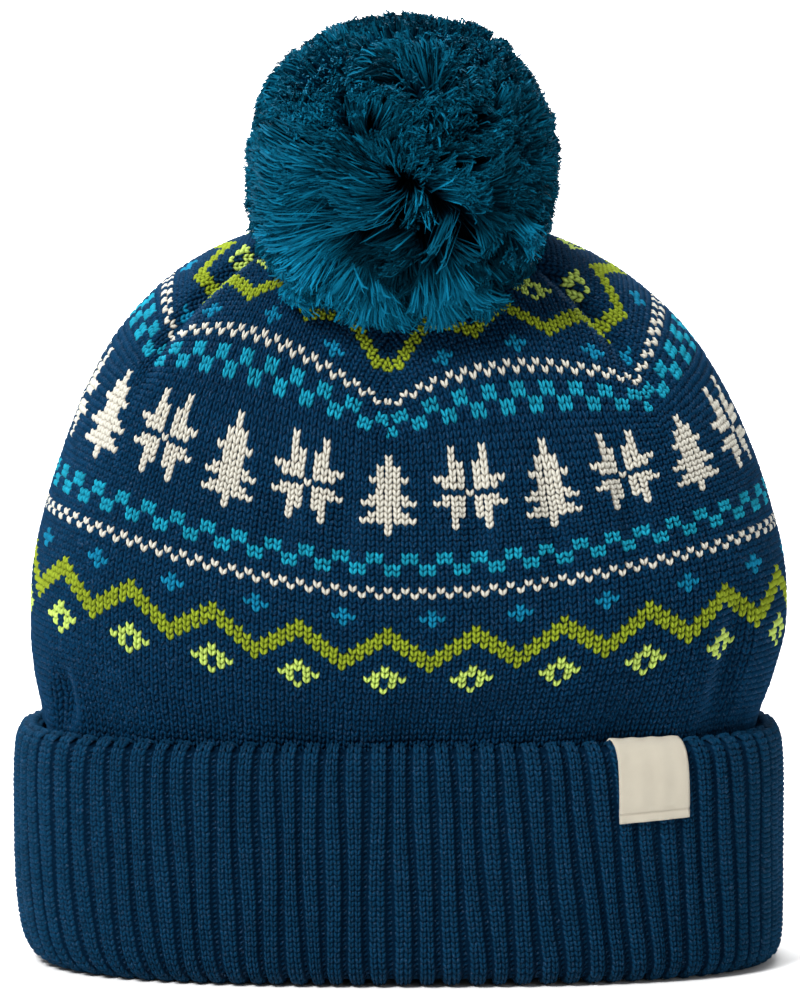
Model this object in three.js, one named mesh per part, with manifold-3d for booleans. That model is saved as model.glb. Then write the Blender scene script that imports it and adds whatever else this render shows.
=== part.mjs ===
// A knitted winter beanie: a ribbed cuff folded up on itself, a six-panel crown
// gathered at the top, a yarn pompom and a small bare woven label.
// Millimetres, +Z up, the front of the hat faces -Y. The origin lies on the resting
// plane, under the middle of the cuff's mouth.
import * as THREE from "three";
import { mergeVertices } from "three/addons/utils/BufferGeometryUtils.js";
import Module from "manifold-3d";

// Driving dimensions

const GAP = 0.3; // between pieces that touch
const FABRIC = 2.4; // one layer of knit

const MOUTH = { halfWidth: 101, halfDepth: 46, squareness: 2.6 }; // inside of the cuff

const CUFF = {
  height: 69, // of the turned-up band
  reach: 10, // from the mouth out to the rib crests
  innerTop: 62, // where the band's inner layer meets the crown
  slot: 0.9, // slack between the inner layer and the turned-up band
  slotFloor: 6, // bottom of that slack, above the fold
  ribs: 84,
  ribDepth: 1.6,
};

const PANELS = 6; // crown panels, joined by as many dart seams
const SEAM = { depth: 2.4, halfWidth: 4.5, low: 158, full: 196 };
const PANEL_PUFF = 1.2; // how far a panel swells between two seams

const POMPOM = {
  radius: 45,
  headRadius: 33,
  centre: new THREE.Vector3(1.3, -15, 229),
  locks: 64,
  lockTip: 7.2, // radius of a lock at its cut end
  lockRoot: 3.6,
  lockSides: 5,
};

const LABEL = {
  width: 21,
  bottom: 47,
  thickness: 0.8,
  across: 73, // its middle, to the right of the hat's middle
  turnIn: 4.6, // the hem folded over the cuff's top edge
  tilt: 0.05, // rise of its lower edge per millimetre to the right
};

// Colours of the yarns and the label

const COLOURS = {
  navy: 0x0f3a5e,
  ribNavy: 0x12426a,
  teal: 0x0b6a8a,
  cream: 0xd8d1bd,
};

// Crown sections from the cuff to the top, read off the front and side outlines

const CROWN_SECTIONS = [
  { z: 62.3, halfWidth: 103.4, halfDepth: 48.4, shift: 0.0, squareness: 2.6 },
  { z: 71.0, halfWidth: 104.0, halfDepth: 49.2, shift: 0.4, squareness: 2.55 },
  { z: 84.0, halfWidth: 106.8, halfDepth: 52.8, shift: 1.6, squareness: 2.5 },
  { z: 98.0, halfWidth: 108.6, halfDepth: 55.2, shift: 2.8, squareness: 2.45 },
  { z: 115.0, halfWidth: 108.0, halfDepth: 55.8, shift: 3.0, squareness: 2.4 },
  { z: 132.0, halfWidth: 104.2, halfDepth: 53.4, shift: 2.8, squareness: 2.35 },
  { z: 149.0, halfWidth: 98.6, halfDepth: 49.0, shift: 2.6, squareness: 2.3 },
  { z: 166.0, halfWidth: 91.2, halfDepth: 43.4, shift: 1.9, squareness: 2.25 },
  { z: 182.5, halfWidth: 80.0, halfDepth: 36.0, shift: 1.2, squareness: 2.2 },
  { z: 198.0, halfWidth: 63.0, halfDepth: 26.5, shift: 0.2, squareness: 2.1 },
  { z: 208.0, halfWidth: 43.5, halfDepth: 17.5, shift: -0.2, squareness: 2.0 },
  { z: 213.0, halfWidth: 21.0, halfDepth: 8.5, shift: -0.1, squareness: 2.0 },
  { z: 214.5, halfWidth: 0.0, halfDepth: 0.0, shift: 0.0, squareness: 2.0 },
];

// Soft folds of the crown: place round the hat as a share of a turn from the front
// middle towards the wearer's left, height range, half width and depth

const CROWN_FOLDS = [
  { turn: 0.036, low: 104, high: 166, halfWidth: 6, depth: 1.6 },
  { turn: 0.078, low: 100, high: 164, halfWidth: 6, depth: 1.9 },
  { turn: 0.124, low: 104, high: 170, halfWidth: 7, depth: 2.2 },
  { turn: 0.178, low: 66, high: 118, halfWidth: 8, depth: 2.6 },
  { turn: 0.046, low: 66, high: 88, halfWidth: 12, depth: 1.6 },
  { turn: 0.304, low: 70, high: 150, halfWidth: 9, depth: 2.0 },
  { turn: 0.42, low: 96, high: 160, halfWidth: 9, depth: 1.8 },
  { turn: 0.55, low: 66, high: 112, halfWidth: 10, depth: 1.8 },
  { turn: 0.64, low: 100, high: 164, halfWidth: 9, depth: 1.8 },
  { turn: 0.806, low: 66, high: 92, halfWidth: 6, depth: 3.0 },
  { turn: 0.93, low: 112, high: 150, halfWidth: 8, depth: 1.2 },
  { turn: 0.965, low: 108, high: 156, halfWidth: 6, depth: 1.3 },
];

// Mesh fineness

const CROWN_AROUND = 84;
const CROWN_OUTER_STEPS = 16;
const CROWN_INNER_STEPS = 8;
const CUFF_AROUND = 2 * CUFF.ribs; // a crest and a valley for each rib
const CUFF_INNER_SLOT_CLEAR = FABRIC + CUFF.slot;

const wasm = await Module();
wasm.setup();

// Small helpers

const smooth = (low, high, value) => THREE.MathUtils.smoothstep(value, low, high);

// A bump of height 1 at 0 that falls to 0 at the half width.
function bump(distance, halfWidth) {
  const share = Math.min(1, Math.abs(distance) / halfWidth);
  return (1 - share * share) ** 2;
}

// Signed distance from one share of a turn to another, the short way round.
function turnBetween(from, to) {
  const gap = to - from;
  return gap - Math.round(gap);
}

// A flattened ring, run at even speed from the front middle round by the right.
class FlatRing extends THREE.Curve {
  constructor({ halfWidth, halfDepth, squareness, shift = 0, z = 0 }) {
    super();
    Object.assign(this, { halfWidth, halfDepth, shift, z });
    this.power = 2 / squareness;
    this.arcLengthDivisions = 360;
  }
  getPoint(t, target = new THREE.Vector3()) {
    const angle = 2 * Math.PI * t - Math.PI / 2;
    const flatten = (value) => Math.sign(value) * Math.abs(value) ** this.power;
    return target.set(
      this.shift + this.halfWidth * flatten(Math.cos(angle)),
      this.halfDepth * flatten(Math.sin(angle)),
      this.z,
    );
  }
}

// Turns a profile round the hat: place(turn, j) gives the point of profile point j.
// The profile runs up the outside, so that the faces point out.
function turned(profilePoints, around, place) {
  const blank = Array.from({ length: profilePoints }, (_, j) => new THREE.Vector2(1, j));
  const lathe = new THREE.LatheGeometry(blank, around);
  const position = lathe.getAttribute("position");
  for (let i = 0; i <= around; i++) {
    for (let j = 0; j < profilePoints; j++) {
      const point = place((i % around) / around, j, i);
      position.setXYZ(i * profilePoints + j, point.x, point.y, point.z);
    }
  }
  return closed(lathe);
}

// The geometry with shared vertices merged and its collapsed triangles left out.
function closed(geometry) {
  const bare = new THREE.BufferGeometry();
  bare.setAttribute("position", geometry.getAttribute("position"));
  bare.setIndex(geometry.getIndex());
  const merged = mergeVertices(bare, 1e-3);
  const corners = merged.getIndex().array;
  const kept = [];
  for (let k = 0; k < corners.length; k += 3) {
    const [a, b, c] = corners.slice(k, k + 3);
    if (a !== b && b !== c && c !== a) kept.push(a, b, c);
  }
  merged.setIndex(kept);
  return merged;
}

function toSolid(geometry) {
  const shape = closed(geometry);
  return new wasm.Manifold(
    new wasm.Mesh({
      numProp: 3,
      vertProperties: new Float32Array(shape.getAttribute("position").array),
      triVerts: new Uint32Array(shape.getIndex().array),
    }),
  );
}

function toGeometry(solid) {
  const mesh = solid.getMesh();
  const geometry = new THREE.BufferGeometry();
  geometry.setAttribute("position", new THREE.BufferAttribute(mesh.vertProperties, 3));
  geometry.setIndex(new THREE.BufferAttribute(mesh.triVerts, 1));
  return geometry;
}

function piece(name, geometry, colour) {
  const material = new THREE.MeshStandardMaterial({ color: colour, roughness: 0.95, metalness: 0 });
  geometry.computeVertexNormals();
  const mesh = new THREE.Mesh(geometry, material);
  mesh.name = name;
  return mesh;
}

// Crown form

const CROWN_TOP = CROWN_SECTIONS.length - 1;

// The section at a level, from 0 at the cuff to CROWN_TOP at the top, by a smooth
// curve through the table's rows.
function crownSection(level) {
  const at = THREE.MathUtils.clamp(level, 0, CROWN_TOP);
  const row = Math.min(Math.floor(at), CROWN_TOP - 1);
  const t = at - row;
  const pick = (k) => CROWN_SECTIONS[THREE.MathUtils.clamp(row + k, 0, CROWN_TOP)];
  const section = {};
  for (const column of Object.keys(CROWN_SECTIONS[0])) {
    const [p0, p1, p2, p3] = [-1, 0, 1, 2].map((k) => pick(k)[column]);
    const bend = (2 * p0 - 5 * p1 + 4 * p2 - p3) * t * t + (3 * p1 - p0 - 3 * p2 + p3) * t ** 3;
    section[column] = p1 + 0.5 * ((p2 - p0) * t + bend);
  }
  section.halfWidth = Math.max(0, section.halfWidth);
  section.halfDepth = Math.max(0, section.halfDepth);
  return section;
}

// How far the wall stands out of its plain ring: panels swell, seams and folds sink.
function crownRelief(turn, z, girth) {
  const seamTurn = turnBetween(Math.round(turn * PANELS) / PANELS, turn);
  const gathered = smooth(SEAM.low, SEAM.full, z);
  const seam = SEAM.depth * bump(seamTurn * girth, SEAM.halfWidth);
  const puff = PANEL_PUFF * Math.abs(Math.sin(Math.PI * PANELS * turn));
  let relief = gathered * (puff - seam);
  for (const fold of CROWN_FOLDS) {
    const middle = (fold.low + fold.high) / 2;
    const along = bump(z - middle, (fold.high - fold.low) / 2);
    relief -= fold.depth * along * bump(turnBetween(fold.turn, turn) * girth, fold.halfWidth);
  }
  return relief;
}

const rings = new Map(); // a ring's arc lengths are measured once for each level

function crownRing(level) {
  if (!rings.has(level)) rings.set(level, new FlatRing(crownSection(level)));
  return rings.get(level);
}

function crownPlain(turn, level) {
  return crownRing(level).getPointAt(((turn % 1) + 1) % 1);
}

function crownNormal(turn, level) {
  const step = { turn: 1e-3, level: 1e-2 };
  if (level > CROWN_TOP - step.level) return new THREE.Vector3(0, 0, 1);
  const up = crownPlain(turn, level + step.level).sub(crownPlain(turn, Math.max(0, level - step.level)));
  const along = crownPlain(turn + step.turn, level).sub(crownPlain(turn - step.turn, level));
  return along.cross(up).normalize();
}

// A point at a depth inside the crown's outer face.
function crownPoint(turn, level, depth) {
  const ring = crownRing(level);
  const normal = crownNormal(turn, level);
  const stand = level < CROWN_TOP ? crownRelief(turn, ring.z, ring.getLength()) : 0;
  return crownPlain(turn, level).addScaledVector(normal, stand - depth);
}

// Levels from the cuff to the top, spread evenly.
const levels = (steps) => Array.from({ length: steps + 1 }, (_, k) => (CROWN_TOP * k) / steps);

function crown() {
  const outer = levels(CROWN_OUTER_STEPS).map((level) => ({ level, depth: 0 }));
  const inner = levels(CROWN_INNER_STEPS).map((level) => ({ level, depth: FABRIC }));
  const profile = [...outer, ...inner.reverse(), outer[0]];
  return turned(profile.length, CROWN_AROUND, (turn, j) => {
    return crownPoint(turn, profile[j].level, profile[j].depth);
  });
}

// The space that the crown fills, swollen by a clearance, for cutting the pompom's seat.
function crownFilled(clearance) {
  const outer = levels(CROWN_OUTER_STEPS).map((level) => ({ level, depth: -clearance }));
  const middle = new THREE.Vector3(0, 0, CROWN_SECTIONS[0].z);
  return turned(outer.length + 1, CROWN_AROUND, (turn, j) => {
    return j === 0 ? middle : crownPoint(turn, outer[j - 1].level, outer[j - 1].depth);
  });
}

// Cuff: one ribbed band, its inner layer, the fold at the bottom and the turned-up
// layer with a rounded top edge. out is the distance from the mouth, rib the share
// of the rib depth that shows there.

const CUFF_PROFILE = [
  { out: 6.0, z: 0.0, rib: 0.5 },
  { out: 9.2, z: 3.4, rib: 1.0 },
  { out: CUFF.reach, z: 11.0, rib: 1.0 },
  { out: CUFF.reach, z: CUFF.height - 9, rib: 1.0 },
  { out: 9.3, z: CUFF.height - 2.4, rib: 1.0 },
  { out: 7.2, z: CUFF.height, rib: 0.6 },
  { out: CUFF_INNER_SLOT_CLEAR + 0.9, z: CUFF.height - 1.2, rib: 0.0 },
  { out: CUFF_INNER_SLOT_CLEAR, z: CUFF.slotFloor, rib: 0.0 },
  { out: FABRIC, z: CUFF.slotFloor, rib: 0.0 },
  { out: FABRIC, z: CUFF.innerTop, rib: 0.0 },
  { out: 0.0, z: CUFF.innerTop, rib: 0.0 },
  { out: 0.0, z: 3.0, rib: 0.0 },
  { out: 2.2, z: 0.0, rib: 0.0 },
];

function cuffRing(out, z) {
  const { halfWidth, halfDepth, squareness } = MOUTH;
  return new FlatRing({ halfWidth: halfWidth + out, halfDepth: halfDepth + out, squareness, z });
}

function cuff() {
  const profile = [...CUFF_PROFILE, CUFF_PROFILE[0]];
  const crests = profile.map(({ out, z }) => cuffRing(out, z));
  const valleys = profile.map(({ out, z, rib }) => cuffRing(out - rib * CUFF.ribDepth, z));
  return turned(profile.length, CUFF_AROUND, (turn, j, i) => {
    return (i % 2 ? valleys : crests)[j].getPointAt(turn);
  });
}

// Label: a strip that lies on the rib crests and turns in over the cuff's top edge

const LABEL_STEPS = { across: 6, up: 8 };

function label() {
  const front = CUFF.reach + GAP;
  const top = CUFF.height + GAP;
  const length = top - LABEL.bottom + LABEL.turnIn;
  const strip = new THREE.BoxGeometry(
    LABEL.width, length, LABEL.thickness, LABEL_STEPS.across, LABEL_STEPS.up, 1,
  );
  const face = cuffRing(front, 0);
  const girth = face.getLength();
  const middle = turnAcross(face, LABEL.across);
  // The strip's middle line, up the front of the cuff and in over its top edge.
  const line = new THREE.CurvePath();
  const corner = [new THREE.Vector2(0, top - 4.2), new THREE.Vector2(0, top), new THREE.Vector2(-2.9, top)];
  line.add(new THREE.LineCurve(new THREE.Vector2(0, LABEL.bottom), corner[0]));
  line.add(new THREE.QuadraticBezierCurve(...corner));
  line.add(new THREE.LineCurve(corner[2], new THREE.Vector2(-2.9 - LABEL.turnIn / 2, top)));
  const position = strip.getAttribute("position");
  for (let k = 0; k < position.count; k++) {
    const share = position.getY(k) / length + 0.5;
    const spot = line.getPointAt(share);
    const ahead = line.getTangentAt(share);
    const lift = position.getZ(k) + LABEL.thickness / 2;
    const rise = LABEL.tilt * position.getX(k) * (1 - smooth(0.5, 0.75, share));
    const out = front + spot.x + ahead.y * lift;
    const z = spot.y - ahead.x * lift + rise;
    const point = cuffRing(out, z).getPointAt(middle + position.getX(k) / girth);
    position.setXYZ(k, point.x, point.y, point.z);
  }
  return closed(strip);
}

// The share of a turn at which a ring's front lies a distance to the right.
function turnAcross(ring, across) {
  let [low, high] = [0, 0.25];
  for (let k = 0; k < 30; k++) {
    const middle = (low + high) / 2;
    if (ring.getPointAt(middle).x < across) low = middle;
    else high = middle;
  }
  return low;
}

// Pompom: locks of yarn that stand out of a round head, cut to sit on the crown

const GOLDEN_ANGLE = Math.PI * (3 - Math.sqrt(5));

// Directions spread evenly over a sphere.
function lockDirection(k) {
  const up = 1 - (2 * k + 1) / POMPOM.locks;
  const flat = Math.sqrt(1 - up * up);
  return new THREE.Vector3(flat * Math.cos(k * GOLDEN_ANGLE), flat * Math.sin(k * GOLDEN_ANGLE), up);
}

// Locks that point back and down are pressed flat between the head and the crown.
const pressedFlat = (direction) => direction.y > 0 && direction.z < -0.15;

function lock(k) {
  const direction = lockDirection(k);
  const root = POMPOM.headRadius * 0.7;
  const tip = POMPOM.radius * (0.97 + 0.03 * Math.sin(2.4 * k));
  const shape = new THREE.CylinderGeometry(
    POMPOM.lockTip, POMPOM.lockRoot, tip - root, POMPOM.lockSides,
  );
  shape.translate(0, (tip + root) / 2, 0);
  const turn = new THREE.Quaternion().setFromUnitVectors(new THREE.Vector3(0, 1, 0), direction);
  return shape.applyQuaternion(turn).translate(...POMPOM.centre);
}

function pompom() {
  const head = new THREE.IcosahedronGeometry(POMPOM.headRadius, 2);
  let solid = toSolid(head.translate(...POMPOM.centre));
  for (let k = 0; k < POMPOM.locks; k++) {
    if (!pressedFlat(lockDirection(k))) solid = solid.add(toSolid(lock(k)));
  }
  return toGeometry(solid.subtract(toSolid(crownFilled(GAP))));
}

// Assembly

const beanie = new THREE.Group();
beanie.name = "beanie";
beanie.add(piece("cuff", cuff(), COLOURS.ribNavy));
beanie.add(piece("crown", crown(), COLOURS.navy));
beanie.add(piece("pompom", pompom(), COLOURS.teal));
beanie.add(piece("label", label(), COLOURS.cream));

export default beanie;
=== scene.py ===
"""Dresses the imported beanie: its knitted crown, ribbed cuff, yarn pompom and label, in a studio."""

import logging
import math
from dataclasses import astuple, dataclass, field
from enum import Enum
from typing import Any, Callable, Sequence

import bmesh
import bpy
import numpy as np
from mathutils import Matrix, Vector

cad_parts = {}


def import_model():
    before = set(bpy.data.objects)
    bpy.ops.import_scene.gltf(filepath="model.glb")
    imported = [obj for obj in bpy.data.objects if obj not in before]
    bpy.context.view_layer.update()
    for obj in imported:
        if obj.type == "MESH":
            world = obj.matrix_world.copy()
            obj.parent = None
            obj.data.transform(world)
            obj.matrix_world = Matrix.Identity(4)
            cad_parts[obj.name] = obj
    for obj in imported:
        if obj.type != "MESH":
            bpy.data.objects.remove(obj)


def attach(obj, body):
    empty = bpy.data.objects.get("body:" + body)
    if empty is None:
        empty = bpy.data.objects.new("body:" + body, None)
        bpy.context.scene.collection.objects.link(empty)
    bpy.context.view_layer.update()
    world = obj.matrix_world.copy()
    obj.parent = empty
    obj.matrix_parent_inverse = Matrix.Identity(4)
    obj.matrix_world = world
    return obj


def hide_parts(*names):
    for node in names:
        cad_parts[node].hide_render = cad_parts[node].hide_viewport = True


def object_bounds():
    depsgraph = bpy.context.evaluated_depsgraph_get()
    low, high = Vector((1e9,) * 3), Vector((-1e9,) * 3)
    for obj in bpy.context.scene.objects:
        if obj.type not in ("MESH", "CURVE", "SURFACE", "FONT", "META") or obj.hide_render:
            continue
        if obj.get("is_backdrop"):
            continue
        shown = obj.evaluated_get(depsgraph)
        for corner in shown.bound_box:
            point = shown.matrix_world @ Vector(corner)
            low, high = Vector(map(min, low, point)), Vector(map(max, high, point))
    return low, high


log = logging.getLogger("beanie")

MM = 0.001  # forms are worked out in millimetres, meshes are made in metres
TURN = 2.0 * math.pi
RING_SAMPLES = 2881  # points by which the way round a ring is measured
CHUNKS = 40  # parts in which strands look for their bundle, to save memory
NEAR = 1e-4  # places closer than this are the same
LEAST = 1e-12  # keeps divisions from zero
Array = np.ndarray
Random = np.random.Generator
Piece = bpy.types.Object
Material = bpy.types.Material
Shape = bmesh.types.BMesh
Cover = Callable[[Array], Array]  # tells which points are hidden
Colour = tuple[float, float, float]
Point = tuple[float, float, float]
Range = tuple[float, float]
WHITE: Colour = (1.0, 1.0, 1.0)


class Yarn(Enum):
    """The yarns of the crown's colour chart, each with its slot in the record."""

    GROUND = "ground_yarn"
    CREAM = "cream_yarn"
    GREEN = "green_yarn"
    LIME = "lime_yarn"
    TURQUOISE = "turquoise_yarn"
    BLUE = "blue_yarn"


class Slot(Enum):
    """The other slots of the record."""

    RIB = "rib_yarn"
    POMPOM = "pompom_yarn"
    LABEL = "label_tape"


YARNS = list(Yarn)


# Numbers and curves


def smoothstep(low: float, high: float, value: Array) -> Array:
    """Eases from 0 at low to 1 at high."""
    share = np.clip((value - low) / (high - low), 0.0, 1.0)
    return share * share * (3.0 - 2.0 * share)


def bump(distance: Array, half_width: float) -> Array:
    """Gives a soft hill of height 1 at 0 that ends at the half width."""
    share = np.clip(np.abs(distance) / half_width, 0.0, 1.0)
    return (1.0 - share**2) ** 2


def short_way(turn: Array, middle: float | Array) -> Array:
    """Gives the signed share of a turn from middle to turn, the short way round."""
    gap = turn - middle
    return gap - np.round(gap)


def unit(vectors: Array) -> Array:
    """Scales vectors, along the last axis, to length 1."""
    return vectors / np.maximum(np.linalg.norm(vectors, axis=-1, keepdims=True), LEAST)


def between(ends: Range, share: Array) -> Array:
    """Goes in a straight line from the first end to the second."""
    return ends[0] + (ends[1] - ends[0]) * share


def nearest(directions: Array, middles: Array) -> Array:
    """Gives the number of the middle that each direction is closest to."""
    parts = np.array_split(directions, CHUNKS)
    return np.concatenate([np.argmax(part @ middles.T, axis=1) for part in parts])


def runs(points: Array) -> Array:
    """Gives the way walked to each point of a row of points, from 0 at the first."""
    steps = np.linalg.norm(np.diff(points, axis=0), axis=-1)
    return np.concatenate([np.zeros_like(steps[:1]), np.cumsum(steps, axis=0)])


def spline(rows: Array, count: int) -> Array:
    """Runs a smooth curve through the rows of a table.

    Args:
        rows: the table, one row for each station.
        count: how many places along the table are wanted, from its first row to its last.

    Returns:
        The columns at each place.
    """
    last = len(rows) - 1
    at = np.linspace(0.0, last, count)
    row = np.minimum(at.astype(int), last - 1)
    t = (at - row)[..., None]
    p0, p1, p2, p3 = (rows[np.clip(row + step, 0, last)] for step in (-1, 0, 1, 2))
    bend = (2 * p0 - 5 * p1 + 4 * p2 - p3) * t**2 + (3 * p1 - p0 - 3 * p2 + p3) * t**3
    return p1 + 0.5 * ((p2 - p0) * t + bend)


def flat_ring(half_width: float, half_depth: float, squareness: float, turns: Array) -> Array:
    """Gives points spaced evenly round a flattened ring.

    Args:
        half_width: half of its extent along X.
        half_depth: half of its extent along Y.
        squareness: 2 for an ellipse, more for a boxier ring.
        turns: shares of a turn from the front middle, by the right.

    Returns:
        One (x, y) row for each turn.
    """
    angle = np.linspace(-0.25 * TURN, 0.75 * TURN, RING_SAMPLES)
    power = 2.0 / squareness
    x = half_width * np.sign(np.cos(angle)) * np.abs(np.cos(angle)) ** power
    y = half_depth * np.sign(np.sin(angle)) * np.abs(np.sin(angle)) ** power
    run = runs(np.column_stack([x, y]))
    at = turns * run[-1]
    return np.stack([np.interp(at, run, x), np.interp(at, run, y)], axis=-1)


def sphere_spread(count: int) -> Array:
    """Spreads directions evenly over a sphere.

    Args:
        count: how many directions.

    Returns:
        One row for each.
    """
    step = np.arange(count)
    up = 1.0 - (2.0 * step + 1.0) / count
    around = step * math.pi * (3.0 - math.sqrt(5.0))
    flat = np.sqrt(1.0 - up**2)
    return np.stack([flat * np.cos(around), flat * np.sin(around), up], axis=-1)


@dataclass
class Sheet:
    """A cloth surface that closes round the hat, sampled on a grid of heights and turns."""

    points: Array
    normals: Array = field(init=False)

    def __post_init__(self) -> None:
        """Works out the outward normals from the grid."""
        along = np.roll(self.points, -1, axis=1) - np.roll(self.points, 1, axis=1)
        self.normals = unit(np.cross(along, np.gradient(self.points, axis=0)))

    def sample(self, grid: Array, turn: Array, up: Array) -> Array:
        """Reads a grid between its samples.

        Args:
            grid: values on the sheet's grid.
            turn: shares of a turn.
            up: shares of the way from the lower edge to the upper.

        Returns:
            The values at those places.
        """
        rows, columns = grid.shape[:2]
        high = np.clip(up, 0.0, 1.0) * (rows - 1)
        around = (turn % 1.0) * columns
        i = np.minimum(high.astype(int), rows - 2)
        j = around.astype(int) % columns
        beside = (j + 1) % columns
        s = (high - i)[..., None]
        t = (around - np.floor(around))[..., None]
        lower = (1 - t) * grid[i, j] + t * grid[i, beside]
        upper = (1 - t) * grid[i + 1, j] + t * grid[i + 1, beside]
        return (1 - s) * lower + s * upper

    def place(self, turn: Array, up: Array, lift: Array) -> Array:
        """Gives points at a height over the sheet."""
        normal = unit(self.sample(self.normals, turn, up))
        return self.sample(self.points, turn, up) + normal * np.asarray(lift)[..., None]

    def ring(self, turns: Array, up: float, lift: float) -> Array:
        """Gives points along one level, at a height over the sheet."""
        return self.place(turns, np.full_like(turns, up), np.full_like(turns, lift))


# Meshes


def mesh_arrays(bm: Shape) -> tuple[Array, Array]:
    """Reads a small shape for stamping, and frees it.

    Args:
        bm: the shape.

    Returns:
        Its vertices and its triangles.
    """
    bmesh.ops.triangulate(bm, faces=bm.faces[:])
    bm.verts.index_update()
    vertices = np.array([v.co[:] for v in bm.verts])
    triangles = np.array([[v.index for v in f.verts] for f in bm.faces])
    bm.free()
    return vertices, triangles


def move_to(bm: Shape, spots: Array) -> None:
    """Moves each vertex to its spot."""
    for vert, spot in zip(bm.verts, spots):
        vert.co = spot


def chosen(geometry: Sequence[Any], kind: type) -> list[Any]:
    """Picks the vertices, edges or faces out of what an operator made."""
    return [part for part in geometry if isinstance(part, kind)]


def add_object(name: str, mesh: bpy.types.Mesh) -> Piece:
    """Puts a mesh in the scene with smooth faces.

    Args:
        name: the object's name.
        mesh: its mesh.

    Returns:
        The object.
    """
    mesh.shade_smooth()
    piece = bpy.data.objects.new(name, mesh)
    bpy.context.scene.collection.objects.link(piece)
    return piece


def stamped(name: str, places: Array, triangles: Array, values: dict[str, Array]) -> Piece:
    """Joins many copies of a small shape in one piece.

    Args:
        name: the piece's name.
        places: millimetres, one row of vertices for each copy.
        triangles: the small shape's triangles.
        values: named values for each vertex of each copy.

    Returns:
        The piece.
    """
    copies, corners = places.shape[:2]
    faces = (triangles[None] + (np.arange(copies) * corners)[:, None, None]).reshape(-1, 3)
    mesh = bpy.data.meshes.new(name)
    mesh.from_pydata((places.reshape(-1, 3) * MM).tolist(), [], faces.tolist())
    for label, value in values.items():
        spread = np.broadcast_to(value, (copies, corners)).astype(np.float32).ravel()
        mesh.attributes.new(label, "FLOAT", "POINT").data.foreach_set("value", spread)
    return add_object(name, mesh)


def piece_from(name: str, bm: Shape, scale: float = MM) -> Piece:
    """Makes a piece of a bmesh, and frees it.

    Args:
        name: the piece's name.
        bm: the shape.
        scale: metres for each of its units.

    Returns:
        The piece.
    """
    bmesh.ops.scale(bm, vec=(scale,) * 3, verts=bm.verts[:])
    mesh = bpy.data.meshes.new(name)
    bm.to_mesh(mesh)
    bm.free()
    return add_object(name, mesh)


def lofted(rings: Sequence[Array]) -> Shape:
    """Extrudes a circle from ring to ring, and joins the last to the first.

    Args:
        rings: one row of points for each ring.

    Returns:
        The closed shape, with its faces pointing out of the material.
    """
    bm = bmesh.new()
    first = bmesh.ops.create_circle(bm, segments=len(rings[0]), radius=1.0)["verts"]
    loops = [bm.edges[:]]
    order = sorted(first, key=lambda v: math.atan2(v.co.y, v.co.x) % TURN)
    around = {v: k for k, v in enumerate(order)}
    for number, ring in enumerate(rings):
        if number:
            grown = bmesh.ops.extrude_edge_only(bm, edges=loops[-1])["geom"]
            verts = chosen(grown, bmesh.types.BMVert)
            near = {v: [e.other_vert(v) for e in v.link_edges] for v in verts}
            around = {v: around[next(n for n in beside if n in around)] for v, beside in near.items()}
            edges = chosen(grown, bmesh.types.BMEdge)
            loops.append([e for e in edges if all(v in around for v in e.verts)])
        for vert, k in around.items():
            vert.co = ring[k]
    bmesh.ops.bridge_loops(bm, edges=loops[0] + loops[-1])
    bmesh.ops.recalc_face_normals(bm, faces=bm.faces[:])
    return bm


# Shaders


def gleam(colour: Colour, white: float = 0.03) -> Colour:
    """Gives the tint of a yarn's gloss, its own hue at full brightness with some white."""
    return tuple(white + (1.0 - white) * channel / max(colour) for channel in colour)


class Sock:
    """A shader value: an output socket that takes part in Python arithmetic."""

    def __init__(self, tree: bpy.types.NodeTree, out: bpy.types.NodeSocket) -> None:
        """Keeps the tree and the socket."""
        self.tree = tree
        self.out = out

    def node(
        self, kind: str, settings: dict[str, Any], inputs: dict[Any, Any], out: int | str = 0
    ) -> "Sock":
        """Adds any node to this value's tree.

        Args:
            kind: the node's type.
            settings: its properties, set first.
            inputs: values or links for its sockets.
            out: the output that is wanted.

        Returns:
            The node's output.
        """
        node = self.tree.nodes.new(kind)
        for key, value in settings.items():
            setattr(node, key, value)
        for key, value in inputs.items():
            if isinstance(value, Sock):
                self.tree.links.new(value.out, node.inputs[key])
            else:
                node.inputs[key].default_value = value
        return Sock(self.tree, node.outputs[out])

    def math(self, operation: str, *values: "Sock | float") -> "Sock":
        """Adds a Math node."""
        return self.node("ShaderNodeMath", {"operation": operation}, dict(enumerate(values)))

    def __add__(self, other: "Sock | float") -> "Sock":
        """Adds."""
        return self.math("ADD", self, other)

    __radd__ = __add__

    def __mul__(self, other: "Sock | float") -> "Sock":
        """Multiplies."""
        return self.math("MULTIPLY", self, other)

    __rmul__ = __mul__

    def __sub__(self, other: "Sock | float") -> "Sock":
        """Subtracts."""
        return self.math("SUBTRACT", self, other)

    def __rsub__(self, other: "Sock | float") -> "Sock":
        """Is subtracted."""
        return self.math("SUBTRACT", other, self)

    def ramp(self, low: float, high: float) -> "Sock":
        """Rises in a straight line from 0 at low to 1 at high."""
        return (self - low) * (1.0 / (high - low))

    def mix(self, blend: str, factor: "Sock | float", low: Any, high: Any) -> "Sock":
        """Adds a Mix node for colours."""
        settings = {"data_type": "RGBA", "blend_type": blend, "clamp_factor": True}
        return self.node("ShaderNodeMix", settings, {0: factor, 6: low, 7: high}, 2)

    def tint(self, low: "Sock | Colour", high: "Sock | Colour") -> "Sock":
        """Mixes two colours by this value."""
        ends = [end if isinstance(end, Sock) else (*end, 1.0) for end in (low, high)]
        return self.mix("MIX", self, *ends)

    def shaded(self, amount: "Sock") -> "Sock":
        """Multiplies this colour by a grey."""
        grey = self.node("ShaderNodeCombineColor", {}, {0: amount, 1: amount, 2: amount})
        return self.mix("MULTIPLY", 1.0, self, grey)


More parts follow.
